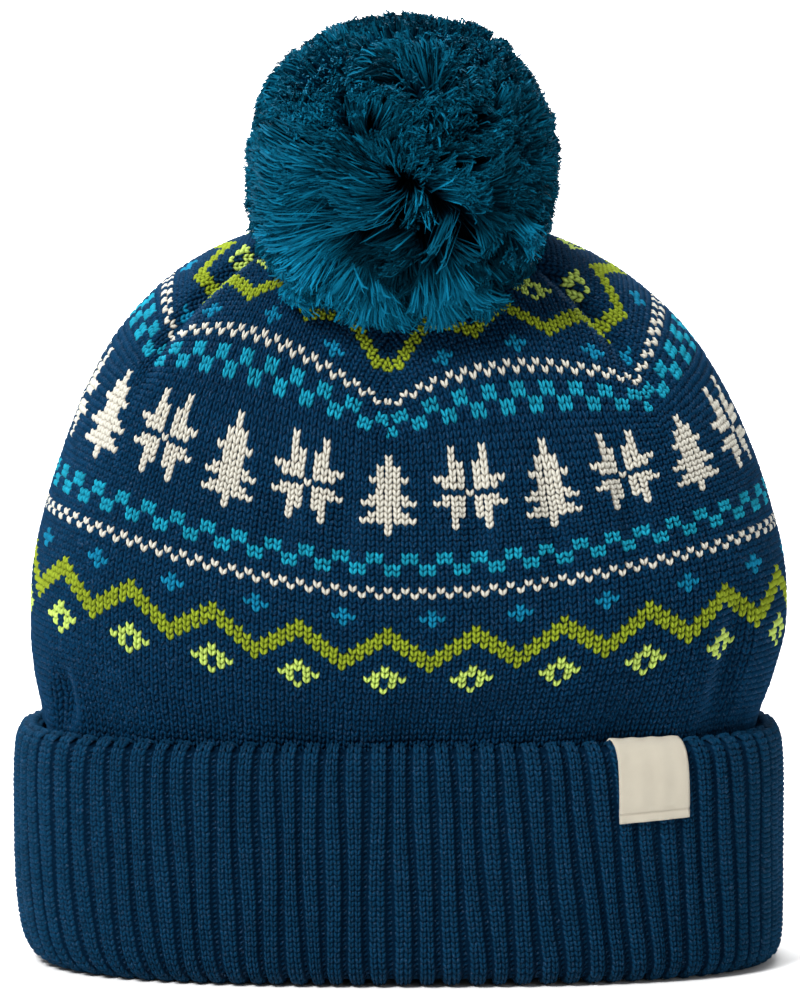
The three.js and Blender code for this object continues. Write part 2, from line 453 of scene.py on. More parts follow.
class Finish:
    """A new material with its shader, and the values that its patterns start from."""

    def __init__(
        self, name: str, roughness: float, sheen: float, gloss: float, tint: Colour = WHITE
    ) -> None:
        """Starts the material.

        Args:
            name: the material's name.
            roughness: the surface's roughness.
            sheen: weight of the soft light at grazing angles.
            gloss: specular level.
            tint: colour of the gloss and the sheen.
        """
        self.material = bpy.data.materials.new(name)
        self.material.use_nodes = True
        tree = self.material.node_tree
        self.shader = next(n for n in tree.nodes if n.type == "BSDF_PRINCIPLED")
        constants = {
            "Roughness": roughness,
            "Sheen Weight": sheen,
            "Sheen Roughness": 0.5,
            "Sheen Tint": (*tint, 1.0),
            "Specular IOR Level": gloss,
            "Specular Tint": (*tint, 1.0),
        }
        for socket, value in constants.items():
            self.shader.inputs[socket].default_value = value
        self.where = Sock(tree, tree.nodes.new("ShaderNodeTexCoord").outputs["Object"])

    def value(self, name: str) -> Sock:
        """Reads a named value of the mesh."""
        return self.where.node("ShaderNodeAttribute", {"attribute_name": name}, {}, "Fac")

    def noise(self, scale: float, detail: float = 2.0) -> Sock:
        """Gives a soft noise with a number of waves to the metre."""
        inputs = {"Vector": self.where, "Scale": scale, "Detail": detail}
        return self.where.node("ShaderNodeTexNoise", {}, inputs)

    def finish(self, colour: Sock, relief: Sock, depth: float) -> Material:
        """Links the colour and the fine relief.

        Args:
            colour: the base colour.
            relief: height of the fine relief, from 0 to 1.
            depth: its depth in millimetres.

        Returns:
            The material.
        """
        tree = self.material.node_tree
        inputs = {"Strength": 1.0, "Distance": depth * MM, "Height": relief}
        normal = relief.node("ShaderNodeBump", {}, inputs)
        tree.links.new(colour.out, self.shader.inputs["Base Color"])
        tree.links.new(normal.out, self.shader.inputs["Normal"])
        return self.material


@dataclass(frozen=True)
class KnitFinish:
    """Soft yarn in a stitch: its colour fades to a painted shade where it dives under; paler fibres are
    partly painted glints.
    """

    name: str
    colour: Colour
    # painted shade: the colour that the stitch's low parts, where the yarn dives under, are darkened to
    painted_shade: Colour
    spread: float = 0.18
    # paler fibres, partly painted glints, mixed in where the fibre noise is high
    fleck_and_glint: Colour | None = None
    fleck_and_glint_range: Range = (17 / 30, 22 / 30)
    sheen: float = 0.04
    fibres: float = 1700.0
    fibre_shade: float = 0.3
    clouds: float = 45.0
    cloud_shade: float = 0.22
    fuzz: float = 0.16

    def material(self) -> Material:
        """Makes the yarn's material, from the stitches' tone and height.

        Returns:
            The material.
        """
        yarn = Finish(self.name, roughness=0.7, sheen=self.sheen, gloss=0.2, tint=gleam(self.colour))
        fibre = yarn.noise(self.fibres, 3.0)
        cloud = yarn.noise(self.clouds)
        # painted shade: the colour darkens from the yarn's own towards the painted shade in the stitch's
        # low parts
        body = yarn.value("height").tint(self.painted_shade, self.colour)
        # paler fibres, partly painted glints, where the fibre noise is high
        if self.fleck_and_glint:
            body = fibre.ramp(*self.fleck_and_glint_range).tint(body, self.fleck_and_glint)
        patchy = self.fibre_shade * (fibre - 0.5) + self.cloud_shade * (cloud - 0.5)
        grey = 1.0 + self.spread * (2.0 * yarn.value("tone") - 1.0) + patchy
        return yarn.finish(body.shaded(grey), fibre, self.fuzz)


@dataclass(frozen=True)
class PileFinish:
    """Cut yarn of the pompom: a painted shade at the root, its own colour along its outer half, a painted
    shade at the cut end.
    """

    name: str
    # painted shade deep in the pile, at the strands' roots
    root: Colour
    body: Colour
    # painted shade at the cut ends
    painted_tip_shade: Colour
    body_range: Range = (5 / 12, 5 / 6)
    painted_tip_shade_range: Range = (3 / 4, 1.0)
    darkest: float = 0.235
    spread: float = 1.31
    fibres: float = 2400.0
    fibre_shade: float = 0.25
    fuzz: float = 0.12

    def material(self) -> Material:
        """Makes the pile's material, from each strand's tone and the way along it.

        Returns:
            The material.
        """
        pile = Finish(self.name, roughness=0.55, sheen=0.0, gloss=0.04, tint=gleam(self.body))
        along = pile.value("along")
        # painted shade at the root and at the cut end, the strand's own colour between
        lower = along.ramp(*self.body_range).tint(self.root, self.body)
        colour = along.ramp(*self.painted_tip_shade_range).tint(lower, self.painted_tip_shade)
        fibre = pile.noise(self.fibres)
        grey = self.darkest + self.spread * pile.value("tone") + self.fibre_shade * (fibre - 0.5)
        return pile.finish(colour.shaded(grey), fibre, self.fuzz)


@dataclass(frozen=True)
class TapeFinish:
    """Plain woven tape, with a fine even weave both ways and a crease over its hem, each with painted
    shade.
    """

    name: str
    colour: Colour
    shade: Colour
    threads: float = 2.4
    unevenness: float = 0.6
    hem: float = 2.5
    crease_edge: float = 2.2
    crease_blur: float = 0.1
    crease_depth: float = 2.0
    clouds: float = 160.0
    # painted shade between the threads, and below it in the crease
    weave_painted_shade: float = 0.75
    cloud_light: float = 0.4
    crease_painted_shade: float = 0.9
    fuzz: float = 0.12

    def material(self) -> Material:
        """Makes the tape's material on its own flat layout, in millimetres.

        Returns:
            The material.
        """
        tape = Finish(self.name, roughness=0.85, sheen=0.2, gloss=0.2)
        flat = tape.where.node("ShaderNodeUVMap", {"uv_map": "flat"}, {})
        inputs = {"Vector": flat, "Scale": self.threads, "Distortion": self.unevenness}
        warp, weft = (flat.node("ShaderNodeTexWave", {"bands_direction": way}, inputs) for way in "XY")
        up = flat.node("ShaderNodeSeparateXYZ", {}, {0: flat}, "Y")
        off_hem = up.math("ABSOLUTE", up - self.hem)
        crease = up.math("SMOOTH_MAX", 1.0 - self.crease_edge * off_hem, 0.0, self.crease_blur)
        weave = 0.5 * (warp + weft)
        # painted shade: darker between the threads and in the crease, with a random mottle
        light = self.weave_painted_shade * weave + self.cloud_light * tape.noise(self.clouds)
        colour = (light - self.crease_painted_shade * crease).tint(self.shade, self.colour)
        return tape.finish(colour, weave - self.crease_depth * crease, self.fuzz)


@dataclass(frozen=True)
class FloorFinish:
    """A pale matt studio floor, with a hardly visible mottle."""

    name: str
    colour: Colour
    mottle: float = 0.985
    clouds: float = 3.0
    fuzz: float = 0.05

    def material(self) -> Material:
        """Makes the floor's material.

        Returns:
            The material.
        """
        floor = Finish(self.name, roughness=0.9, sheen=0.0, gloss=0.1)
        cloud = floor.noise(self.clouds)
        darker = tuple(self.mottle * channel for channel in self.colour)
        return floor.finish(cloud.tint(darker, self.colour), cloud, self.fuzz)


# painted shade of the navy stitches' low parts
NAVY_PAINTED_SHADE: Colour = (0.0002, 0.0034, 0.0100)
# paler navy fibres, partly painted glints
NAVY_FLECK_AND_GLINT: Colour = (0.026, 0.046, 0.080)
# each yarn's second colour is the painted shade of its stitches' low parts
KNIT_FINISHES = {
    Yarn.GROUND: KnitFinish("navy ground yarn", (0.0016, 0.0236, 0.0600), NAVY_PAINTED_SHADE, fleck_and_glint=NAVY_FLECK_AND_GLINT),
    Yarn.CREAM: KnitFinish("cream yarn", (0.61, 0.605, 0.54), (0.21, 0.175, 0.13), 0.05),
    Yarn.GREEN: KnitFinish("olive green yarn", (0.25, 0.325, 0.024), (0.04, 0.055, 0.003), 0.14),
    Yarn.LIME: KnitFinish("lime yarn", (0.49, 0.645, 0.145), (0.12, 0.17, 0.02), 0.10),
    Yarn.TURQUOISE: KnitFinish("turquoise yarn", (0.010, 0.265, 0.385), (0.002, 0.05, 0.09), 0.20),
    Yarn.BLUE: KnitFinish("mid blue yarn", (0.006, 0.18, 0.32), (0.002, 0.04, 0.08), 0.20),
}
RIB_FINISH = KnitFinish("navy rib yarn", (0.0027, 0.0292, 0.0675), NAVY_PAINTED_SHADE, fleck_and_glint=NAVY_FLECK_AND_GLINT)
# the purl wales between the ribs are painted darker than the ribs, as shade in the valleys
SHADED_HOLLOW_FINISH = KnitFinish(
    "navy yarn between ribs", (0.0016, 0.0180, 0.0440), NAVY_PAINTED_SHADE, fleck_and_glint=NAVY_FLECK_AND_GLINT
)
# the backing is painted near black, as the shade seen between the stitches and inside the hat
SHADE_BACKING_FINISH = KnitFinish("navy knit backing", (0.0004, 0.006, 0.016), (0.0003, 0.0050, 0.0140))
# the root and tip colours are painted shade, deep in the pile and at the cut ends
PILE_FINISH = PileFinish(
    "teal pile", root=(0.0005, 0.010, 0.019), body=(0.0022, 0.093, 0.165), painted_tip_shade=(0.0014, 0.050, 0.090)
)
# the tape's darker colour is painted shade between the threads and in the crease, with a random mottle
TAPE_FINISH = TapeFinish("cream woven tape", (0.655, 0.608, 0.492), (0.45, 0.40, 0.315))
FLOOR_FINISH = FloorFinish("studio floor", (0.90, 0.90, 0.90))


def dress(piece: Piece, material: Material, slot: Yarn | Slot) -> Piece:
    """Gives a piece its material, and fixes it to the hat.

    Args:
        piece: the piece.
        material: its material.
        slot: the record's slot for the piece's finish; not used.

    Returns:
        The piece.
    """
    piece.data.materials.append(material)
    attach(piece, "root")
    return piece


# Stitches


@dataclass
class Stamp:
    """A small shape that is repeated: its vertices, triangles and the vertices' heights from 0 to 1."""

    vertices: Array
    triangles: Array
    height: Array

    def laid(self, name: str, places: Array, tone: Array, material: Material, slot: Yarn | Slot) -> Piece:
        """Makes a piece of many copies, each with a tone."""
        # the height drives the painted shade of the yarn's low parts in the material
        values = {"tone": tone[:, None], "height": self.height[None]}
        return dress(stamped(name, places, self.triangles, values), material, slot)


@dataclass(frozen=True)
class KnitStitch:
    """One plain stitch: two arched legs of yarn that meet at the bottom of a V.

    Across is in stitch widths, up in rows, and lift in millimetres.
    """

    foot: float = 0.06
    spread: float = 0.34
    half_tall: float = 0.80
    half_thick: float = 0.235
    crest: float = 0.62
    edge: float = -0.30
    tuck: float = 0.70
    slim: float = 0.45
    filling: float = 1.6
    fade: float = 1.4

    def stamp(self) -> Stamp:
        """Builds the two legs from strips that are pinched at their ends.

        Returns:
            The stitch.
        """
        bm = bmesh.new()
        bmesh.ops.create_grid(bm, x_segments=2, y_segments=3, size=1.0)
        for end in (-1.0, 1.0):
            tips = [v for v in bm.verts if abs(v.co.y - end) < NEAR]
            bmesh.ops.pointmerge(bm, verts=tips, merge_co=(0.0, end, 0.0))
        for vert in bm.verts:
            across, up = vert.co.x, vert.co.y
            arch = 1.0 - across**2
            pinch = 1.0 - up**2
            body = self.slim + (1.0 - self.slim) * min(1.0, self.filling * pinch)
            vert.co.x = self.foot + self.spread * (up + 1.0) / 2.0 + self.half_thick * across
            vert.co.y = self.half_tall * up
            vert.co.z = self.edge + (self.crest - self.edge) * arch * body - self.tuck * (1.0 - pinch)
        left = bmesh.ops.duplicate(bm, geom=bm.verts[:] + bm.edges[:] + bm.faces[:])["geom"]
        bmesh.ops.scale(bm, vec=(-1.0, 1.0, 1.0), verts=chosen(left, bmesh.types.BMVert))
        bmesh.ops.reverse_faces(bm, faces=chosen(left, bmesh.types.BMFace))
        vertices, triangles = mesh_arrays(bm)
        lowest = self.edge - self.tuck
        # the height drives the painted shade of the stitch's low parts
        height = np.clip((vertices[:, 2] - lowest) / (self.crest - lowest), 0.0, 1.0) ** self.fade
        return Stamp(vertices, triangles, height)


@dataclass(frozen=True)
class PurlBump:
    """One bump of a purl wale, a short slanted arc across the valley between ribs."""

    half_across: float = 0.46
    half_tall: float = 0.48
    crest: float = 0.42
    edge: float = -0.35
    slant: float = 0.35
    rounding: float = 0.72

    def stamp(self) -> Stamp:
        """Builds the bump from a small domed patch.

        Returns:
            The bump.
        """
        bm = bmesh.new()
        bmesh.ops.create_grid(bm, x_segments=2, y_segments=2, size=1.0)
        for vert in bm.verts:
            across, up = vert.co.x, vert.co.y
            dome = (1.0 - across**2) * (1.0 - up**2)
            corner = self.rounding if abs(across * up) > 0.5 else 1.0
            vert.co.x = self.half_across * across * corner
            vert.co.y = self.half_tall * up * corner + self.slant * across
            vert.co.z = self.edge + (self.crest - self.edge) * dome
        vertices, triangles = mesh_arrays(bm)
        # the height drives the painted shade of the bump's low parts
        return Stamp(vertices, triangles, (vertices[:, 2] - self.edge) / (self.crest - self.edge))


def front_and_back(name: str, places: Array) -> dict[str, Array]:
    """Splits copies in a front and a back half, each with its name."""
    front = places[:, :, 1].mean(axis=1) < 0.0
    return {f"{name}_front": front, f"{name}_back": ~front}


# Crown


@dataclass(frozen=True)
class CrownSection:
    """A level section of the crown, in millimetres."""

    z: float
    half_width: float
    half_depth: float
    shift: float
    squareness: float


@dataclass(frozen=True)
class Fold:
    """A soft fold of the crown: place round it, height range, half width and depth."""

    turn: float
    low: float
    high: float
    half_width: float
    depth: float

    def sink(self, turn: Array, z: Array, girth: Array) -> Array:
        """Gives how deep the cloth lies in the fold."""
        along = bump(z - (self.low + self.high) / 2, (self.high - self.low) / 2)
        return self.depth * along * bump(short_way(turn, self.turn) * girth, self.half_width)


CROWN_SECTIONS = (
    CrownSection(62.3, 103.4, 48.4, 0.0, 2.60),
    CrownSection(71.0, 104.0, 49.2, 0.4, 2.55),
    CrownSection(84.0, 106.8, 52.8, 1.6, 2.50),
    CrownSection(98.0, 108.6, 55.2, 2.8, 2.45),
    CrownSection(115.0, 108.0, 55.8, 3.0, 2.40),
    CrownSection(132.0, 104.2, 53.4, 2.8, 2.35),
    CrownSection(149.0, 98.6, 49.0, 2.6, 2.30),
    CrownSection(166.0, 91.2, 43.4, 1.9, 2.25),
    CrownSection(182.5, 80.0, 36.0, 1.2, 2.20),
    CrownSection(198.0, 63.0, 26.5, 0.2, 2.10),
    CrownSection(208.0, 43.5, 17.5, -0.2, 2.00),
    CrownSection(213.0, 21.0, 8.5, -0.1, 2.00),
    CrownSection(214.5, 0.0, 0.0, 0.0, 2.00),
)

CROWN_FOLDS = (
    Fold(0.036, 104, 166, 6, 1.6),
    Fold(0.078, 100, 164, 6, 1.9),
    Fold(0.124, 104, 170, 7, 2.2),
    Fold(0.178, 66, 118, 8, 2.6),
    Fold(0.046, 66, 88, 12, 1.6),
    Fold(0.304, 70, 150, 9, 2.0),
    Fold(0.420, 96, 160, 9, 1.8),
    Fold(0.550, 66, 112, 10, 1.8),
    Fold(0.640, 100, 164, 9, 1.8),
    Fold(0.806, 66, 92, 6, 3.0),
    Fold(0.930, 112, 150, 8, 1.2),
    Fold(0.965, 108, 156, 6, 1.3),
)


@dataclass(frozen=True)
class Motif:
    """A small chart, top row first, with X where the yarn shows."""

    rows: tuple[str, ...]

    def cells(self) -> list[tuple[int, int]]:
        """Lists the marked cells.

        Returns:
            The column from the middle and the row from the bottom of each.
        """
        middle = len(self.rows[0]) // 2
        return [
            (column - middle, len(self.rows) - 1 - down)
            for down, row in enumerate(self.rows)
            for column, mark in enumerate(row)
            if mark == "X"
        ]


DIAMOND = Motif(("..X..", ".XXX.", "XX.XX", ".X.X.", "..X.."))
CROSS = Motif((".X.", "XXX", ".X."))
FIR_TREE = Motif(
    (
        "...X...",
        "...X...",
        "..XXX..",
        "..XXX..",
        ".XXXXX.",
        "..XXX..",
        "..XXX..",
        ".XXXXX.",
        "XXXXXXX",
        "..XXX..",
        ".XXXXX.",
        "XXXXXXX",
        "...X...",
        "...X...",
    )
)
STAR_HALF = ("..X...X..", "..X...X..", "..XX.XX..", "..XX.XX..", "XXXX.XXXX", ".XXX.XXX.")
SNOW_STAR = Motif((*STAR_HALF, "....X....", *STAR_HALF[::-1]))


@dataclass
class CrownChart:
    """The crown's colour chart: bands of a ten-stitch repeat, mirrored over the middle band.

    Rows count from the cuff's top edge at the front middle, columns from the front seam.
    """

    stitches: int
    rows: int
    repeat: int = 10
    lower_diamonds: int = 8
    lower_zigzag: int = 12
    lower_crosses: int = 20
    lower_dots: int = 25
    lower_checks: int = 29
    trees: int = 36
    stars: int = 37
    upper_checks: int = 53
    upper_dots: int = 58
    upper_crosses: int = 61
    upper_zigzag: int = 64
    upper_diamonds: int = 72
    zigzag_thick: int = 3
    check_size: int = 2
    chart: Array = field(init=False)

    def __post_init__(self) -> None:
        """Fills in the chart with indexes into the list of yarns, one row for each knitted row."""
        self.chart = np.zeros((self.rows, self.stitches), dtype=int)
        half = self.repeat // 2
        self.stamp(DIAMOND, Yarn.LIME, self.lower_diamonds, 0, self.repeat)
        self.zigzag(self.lower_zigzag)
        self.stamp(CROSS, Yarn.BLUE, self.lower_crosses, half, self.repeat)
        self.dots(self.lower_dots)
        self.checks(self.lower_checks)
        self.stamp(FIR_TREE, Yarn.CREAM, self.trees, 0, 2 * self.repeat)
        self.stamp(SNOW_STAR, Yarn.CREAM, self.stars, self.repeat, 2 * self.repeat)
        self.checks(self.upper_checks)
        self.dots(self.upper_dots)
        self.stamp(CROSS, Yarn.BLUE, self.upper_crosses, 0, self.repeat)
        self.zigzag(self.upper_zigzag)
        self.stamp(DIAMOND, Yarn.LIME, self.upper_diamonds, half, self.repeat)

    def stamp(self, motif: Motif, yarn: Yarn, low: int, start: int, every: int) -> None:
        """Repeats a motif round the hat.

        Args:
            motif: the motif.
            yarn: its yarn.
            low: its lowest row.
            start: the column of the first one's middle.
            every: columns from one to the next.
        """
        middles = np.arange(start, self.stitches, every)
        for across, up in motif.cells():
            self.chart[low + up, (middles + across) % self.stitches] = YARNS.index(yarn)

    def zigzag(self, low: int) -> None:
        """Draws a zigzag from its lowest row, with a peak on every repeat.

        Args:
            low: its lowest row.
        """
        half = self.repeat // 2
        for column in range(self.stitches):
            first = low + half - abs((column + half) % self.repeat - half)
            self.chart[first : first + self.zigzag_thick, column] = YARNS.index(Yarn.GREEN)

    def dots(self, low: int) -> None:
        """Draws two rows of every other stitch, from the lower row."""
        self.chart[low, 1::2] = YARNS.index(Yarn.CREAM)
        self.chart[low + 1, 0::2] = YARNS.index(Yarn.CREAM)

    def checks(self, low: int) -> None:
        """Draws two rows of small checks.

        Args:
            low: their lowest row.
        """
        column = np.arange(self.stitches)
        for step in range(2 * self.check_size):
            shown = (column // self.check_size + step // self.check_size) % 2 == 0
            self.chart[low + step, shown] = YARNS.index(Yarn.TURQUOISE)


@dataclass
class Crown:
    """The plain-knit body of the hat, closed at the top by six dart seams.

    Ranges are from and to, zones are a middle and a half width, and ripples are a height, waves round
    the hat, a start and a climb for each millimetre up.
    """

    panels: int = 6
    seam_turn: float = -0.011
    stitches: int = 220
    rows: int = 102
    first_row: int = -9
    open_rows: int = 3
    cuff_cover: float = 9.5
    side_lift_left: float = 14.5
    side_lift_right: float = 7.5
    sag: float = 10.0
    sag_turn: float = 0.17
    sag_zone: Range = (62.0, 40.0)
    gather_rise: float = 0.20
    gather_rows: Range = (42.0, 66.0)
    dart_row: float = 52.0
    dart_ease: Range = (-2.0, 4.0)
    dart_tuck: float = 2.2
    dart_overlap: float = 0.6
    gauge_across: float = 0.7
    least_share: float = 0.02
    lowest: float = 0.005
    seam_depth: float = 2.4
    seam_half_width: float = 4.5
    seam_range: Range = (158.0, 196.0)
    panel_puff: float = 1.2
    gathers: float = 0.8
    gather_zone: Range = (66.0, 30.0)
    ripples: tuple[tuple[float, int, float, float], ...] = ((1.0, 17, 0.8, 0.0), (0.8, 11, 2.0, 1 / 16))
    fold_gain: float = 1.4
    wall: float = 2.5
    cloth_sink: float = 0.55
    cloth_top: float = 0.9995
    cloth_grid: tuple[int, int] = (50, 210)
    levels: int = 361
    grid: tuple[int, int] = (420, 1440)
    seed: int = 7
    sway: float = 0.045
    uneven: float = 0.05
    sheet: Sheet = field(init=False)
    lengths: Array = field(init=False)
    shares: Array = field(init=False)

    def __post_init__(self) -> None:
        """Works out the cloth's surface and how many stitches each row keeps."""
        up, around = self.grid
        turns = np.arange(around) / around
        plain = self.plain_grid(turns)
        run = runs(plain)
        self.lengths = run[-1]
        even = np.linspace(0.0, 1.0, up)
        points = np.empty((up, around, 3))
        for j in range(around):
            for axis in range(3):
                points[:, j, axis] = np.interp(even * run[-1, j], run[:, j], plain[:, j, axis])
        girths = np.linalg.norm(np.roll(points, -1, axis=1) - points, axis=-1).sum(axis=1)
        smooth = Sheet(points)
        smooth.normals[-1] = (0.0, 0.0, 1.0)
        relief = self.relief(turns[None, :], points[..., 2], girths[:, None])
        relief[-1] = 0.0
        self.sheet = Sheet(points + smooth.normals * relief[..., None])
        self.sheet.normals[-1] = (0.0, 0.0, 1.0)
        at_rows = np.arange(self.first_row, self.rows + 1.0)
        beside = np.ones_like(at_rows)
        height = self.up(0.5 / self.panels * beside, at_rows, self.gauge_across * beside)
        girth = np.interp(height, even, girths)
        kept = np.clip(girth / np.interp(self.dart_row, at_rows, girth), self.least_share, 1.0)
        self.shares = np.where(at_rows < self.dart_row, 1.0, kept)

    def plain_grid(self, turns: Array) -> Array:
        """Gives the crown's plain form before seams and folds.

        Args:
            turns: shares of a turn.

        Returns:
            One row of points for each level.
        """
        table = np.array([astuple(section) for section in CROWN_SECTIONS])
        rings = []
        for z, half_width, half_depth, shift, squareness in spline(table, self.levels):
            ring = flat_ring(max(half_width, 0.0), max(half_depth, 0.0), squareness, turns)
            rings.append(np.column_stack([ring[:, 0] + shift, ring[:, 1], np.full(len(turns), z)]))
        return np.array(rings)

    def relief(self, turn: Array, z: Array, girth: Array) -> Array:
        """Gives how far the cloth stands out of its plain form: panels swell, seams and folds sink.

        Args:
            turn: shares of a turn.
            z: heights.
            girth: the way round the crown there.

        Returns:
            Millimetres outwards.
        """
        from_seam = turn - self.seam_turn
        to_seam = short_way(from_seam * self.panels, 0.0) / self.panels * girth
        seam = self.seam_depth * bump(to_seam, self.seam_half_width)
        puff = self.panel_puff * np.abs(np.sin(math.pi * self.panels * from_seam))
        relief = smoothstep(*self.seam_range, z) * (puff - seam)
        ripple = 1.0
        for height, waves, start, climb in self.ripples:
            ripple = ripple + height * np.sin(TURN * waves * turn + start + climb * z)
        middle, half = self.gather_zone
        relief = relief - self.gathers * ripple * bump(z - middle, half)
        return relief - self.fold_gain * sum(fold.sink(turn, z, girth) for fold in CROWN_FOLDS)

    def share(self, row: Array) -> Array:
        """Gives the share of a panel's stitches that a row keeps."""
        return np.interp(row, np.arange(self.first_row, self.rows + 1), self.shares)

    def half_panel(self) -> float:
        """Gives half of a panel's width in stitches."""
        return self.stitches / self.panels / 2

    def up(self, turn: Array, row: Array, across: Array) -> Array:
        """Gives the height on the sheet of a row.

        Args:
            turn: share of a turn.
            row: knitted row.
            across: place in the panel, from -1 at one seam to 1 at the next.

        Returns:
            Shares of the way from the crown's lower edge to its top.
        """
        columns = len(self.lengths)
        lengths = np.append(self.lengths, self.lengths[0])
        length = np.interp(turn % 1.0, np.arange(columns + 1) / columns, lengths)
        side = np.sin(TURN * turn)
        lift = np.where(side > 0, self.side_lift_right, self.side_lift_left) * side**2
        pitch = (length - self.cuff_cover - lift) / self.rows
        arch = smoothstep(*self.gather_rows, row) * np.maximum(1.0 - across**2, 0.0)
        rise = self.gather_rise * (self.rows - row) * arch
        middle, half = self.sag_zone
        sag = self.sag * bump(short_way(turn, self.sag_turn), self.sag_turn) * bump(row - middle, half)
        return (self.cuff_cover + lift + pitch * (row + rise) - sag) / length

    def place(self, panel: Array, column: Array, row: Array, lift: Array) -> Array:
        """Puts points of the knitted chart on the hat.

        Args:
            panel: the panel's number.
            column: place across, in stitches from the front seam.
            row: place up, in rows.
            lift: height over the cloth.

        Returns:
            The points.
        """
        half = self.half_panel()
        middle = (2 * panel + 1) * half
        share = self.share(row)
        off = (column - middle) / share
        closed = smoothstep(*(self.dart_row + ease for ease in self.dart_ease), row)
        beyond = np.sign(off) * np.maximum(np.abs(off) - half, 0.0)
        across = (off - closed * beyond) / half
        turn = (middle + across * half) / self.stitches + self.seam_turn
        tuck = self.dart_tuck * closed * np.abs(beyond) * share
        return self.sheet.place(turn, self.up(turn, row, across), lift - tuck)

    def stitch_list(self, hidden: Cover) -> tuple[Array, Array, Array]:
        """Lists the stitches that the rows keep and that aren't covered.

        Args:
            hidden: tells which points are covered by another piece.

        Returns:
            The panel, column and row of each.
        """
        half = self.half_panel()
        listed = []
        for row in range(self.first_row, self.rows - self.open_rows):
            reach = half * self.share(np.array(row)) + self.dart_overlap
            for panel in range(self.panels):
                middle = (2 * panel + 1) * half
                columns = np.arange(math.ceil(middle - half), math.ceil(middle + half))
                listed += [(panel, c, row) for c in columns if abs(c - middle) <= reach]
        panel, column, row = np.array(listed, dtype=float).T
        middle = (2 * panel + 1) * half
        across = np.clip((column - middle) / self.share(row) / half, -1.0, 1.0)
        turn = (middle + across * half) / self.stitches + self.seam_turn
        up = self.up(turn, row, across)
        keep = (up > self.lowest) & ~hidden(self.sheet.place(turn, up, np.zeros_like(up)))
        return panel[keep], column[keep], row[keep]

    def build(self, hidden: Cover) -> list[Piece]:
        """Makes the cloth and its stitches, apart from those that another piece covers."""
        return [self.cloth(), *self.knit(hidden)]

    def cloth(self) -> Piece:
        """Makes the wall under the stitches.

        Returns:
            The piece.
        """
        levels, around = self.cloth_grid
        turns = np.arange(around) / around
        heights = np.linspace(0.0, self.cloth_top, levels)
        outside = [self.sheet.ring(turns, up, -self.cloth_sink) for up in heights]
        inside = [self.sheet.ring(turns, up, -self.wall) for up in heights[::-2]]
        bm = lofted([*outside, *inside])
        # the cloth under the stitches is painted near black, as shade between them and inside the hat
        piece = dress(piece_from("crown_cloth", bm), SHADE_BACKING_FINISH.material(), Yarn.GROUND)
        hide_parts("crown")
        return piece

    def knit(self, hidden: Cover) -> list[Piece]:
        """Makes the stitches, one piece for each yarn and two for the ground.

        Args:
            hidden: tells which points are covered by another piece.

        Returns:
            The pieces.
        """
        rng = np.random.default_rng(self.seed)
        stitch = KnitStitch().stamp()
        across, up, out = stitch.vertices.T
        panel, column, row = self.stitch_list(hidden)
        chart = CrownChart(self.stitches, self.rows).chart
        charted = chart[np.maximum(row, 0).astype(int), column.astype(int) % self.stitches]
        yarn = np.where(row < 0, YARNS.index(Yarn.GROUND), charted)
        sway = rng.normal(0.0, self.sway, (2, len(row), 1))
        fat = rng.normal(0.0, self.uneven, (len(row), 1))
        columns = column[:, None] + sway[0] + across
        rows = row[:, None] + sway[1] + up
        places = self.place(panel[:, None], columns, rows, out + fat)
        tone = rng.random(len(row))
        pieces = []
        for number, kind in enumerate(YARNS):
            material = KNIT_FINISHES[kind].material()
            name = f"crown_{kind.name.lower()}_stitches"
            parts = {name: np.ones(len(row), dtype=bool)}
            if kind is Yarn.GROUND:
                parts = front_and_back(name, places)
            for part, inside in parts.items():
                mine = inside & (yarn == number)
                pieces.append(stitch.laid(part, places[mine], tone[mine], material, kind))
        return pieces


# Cuff


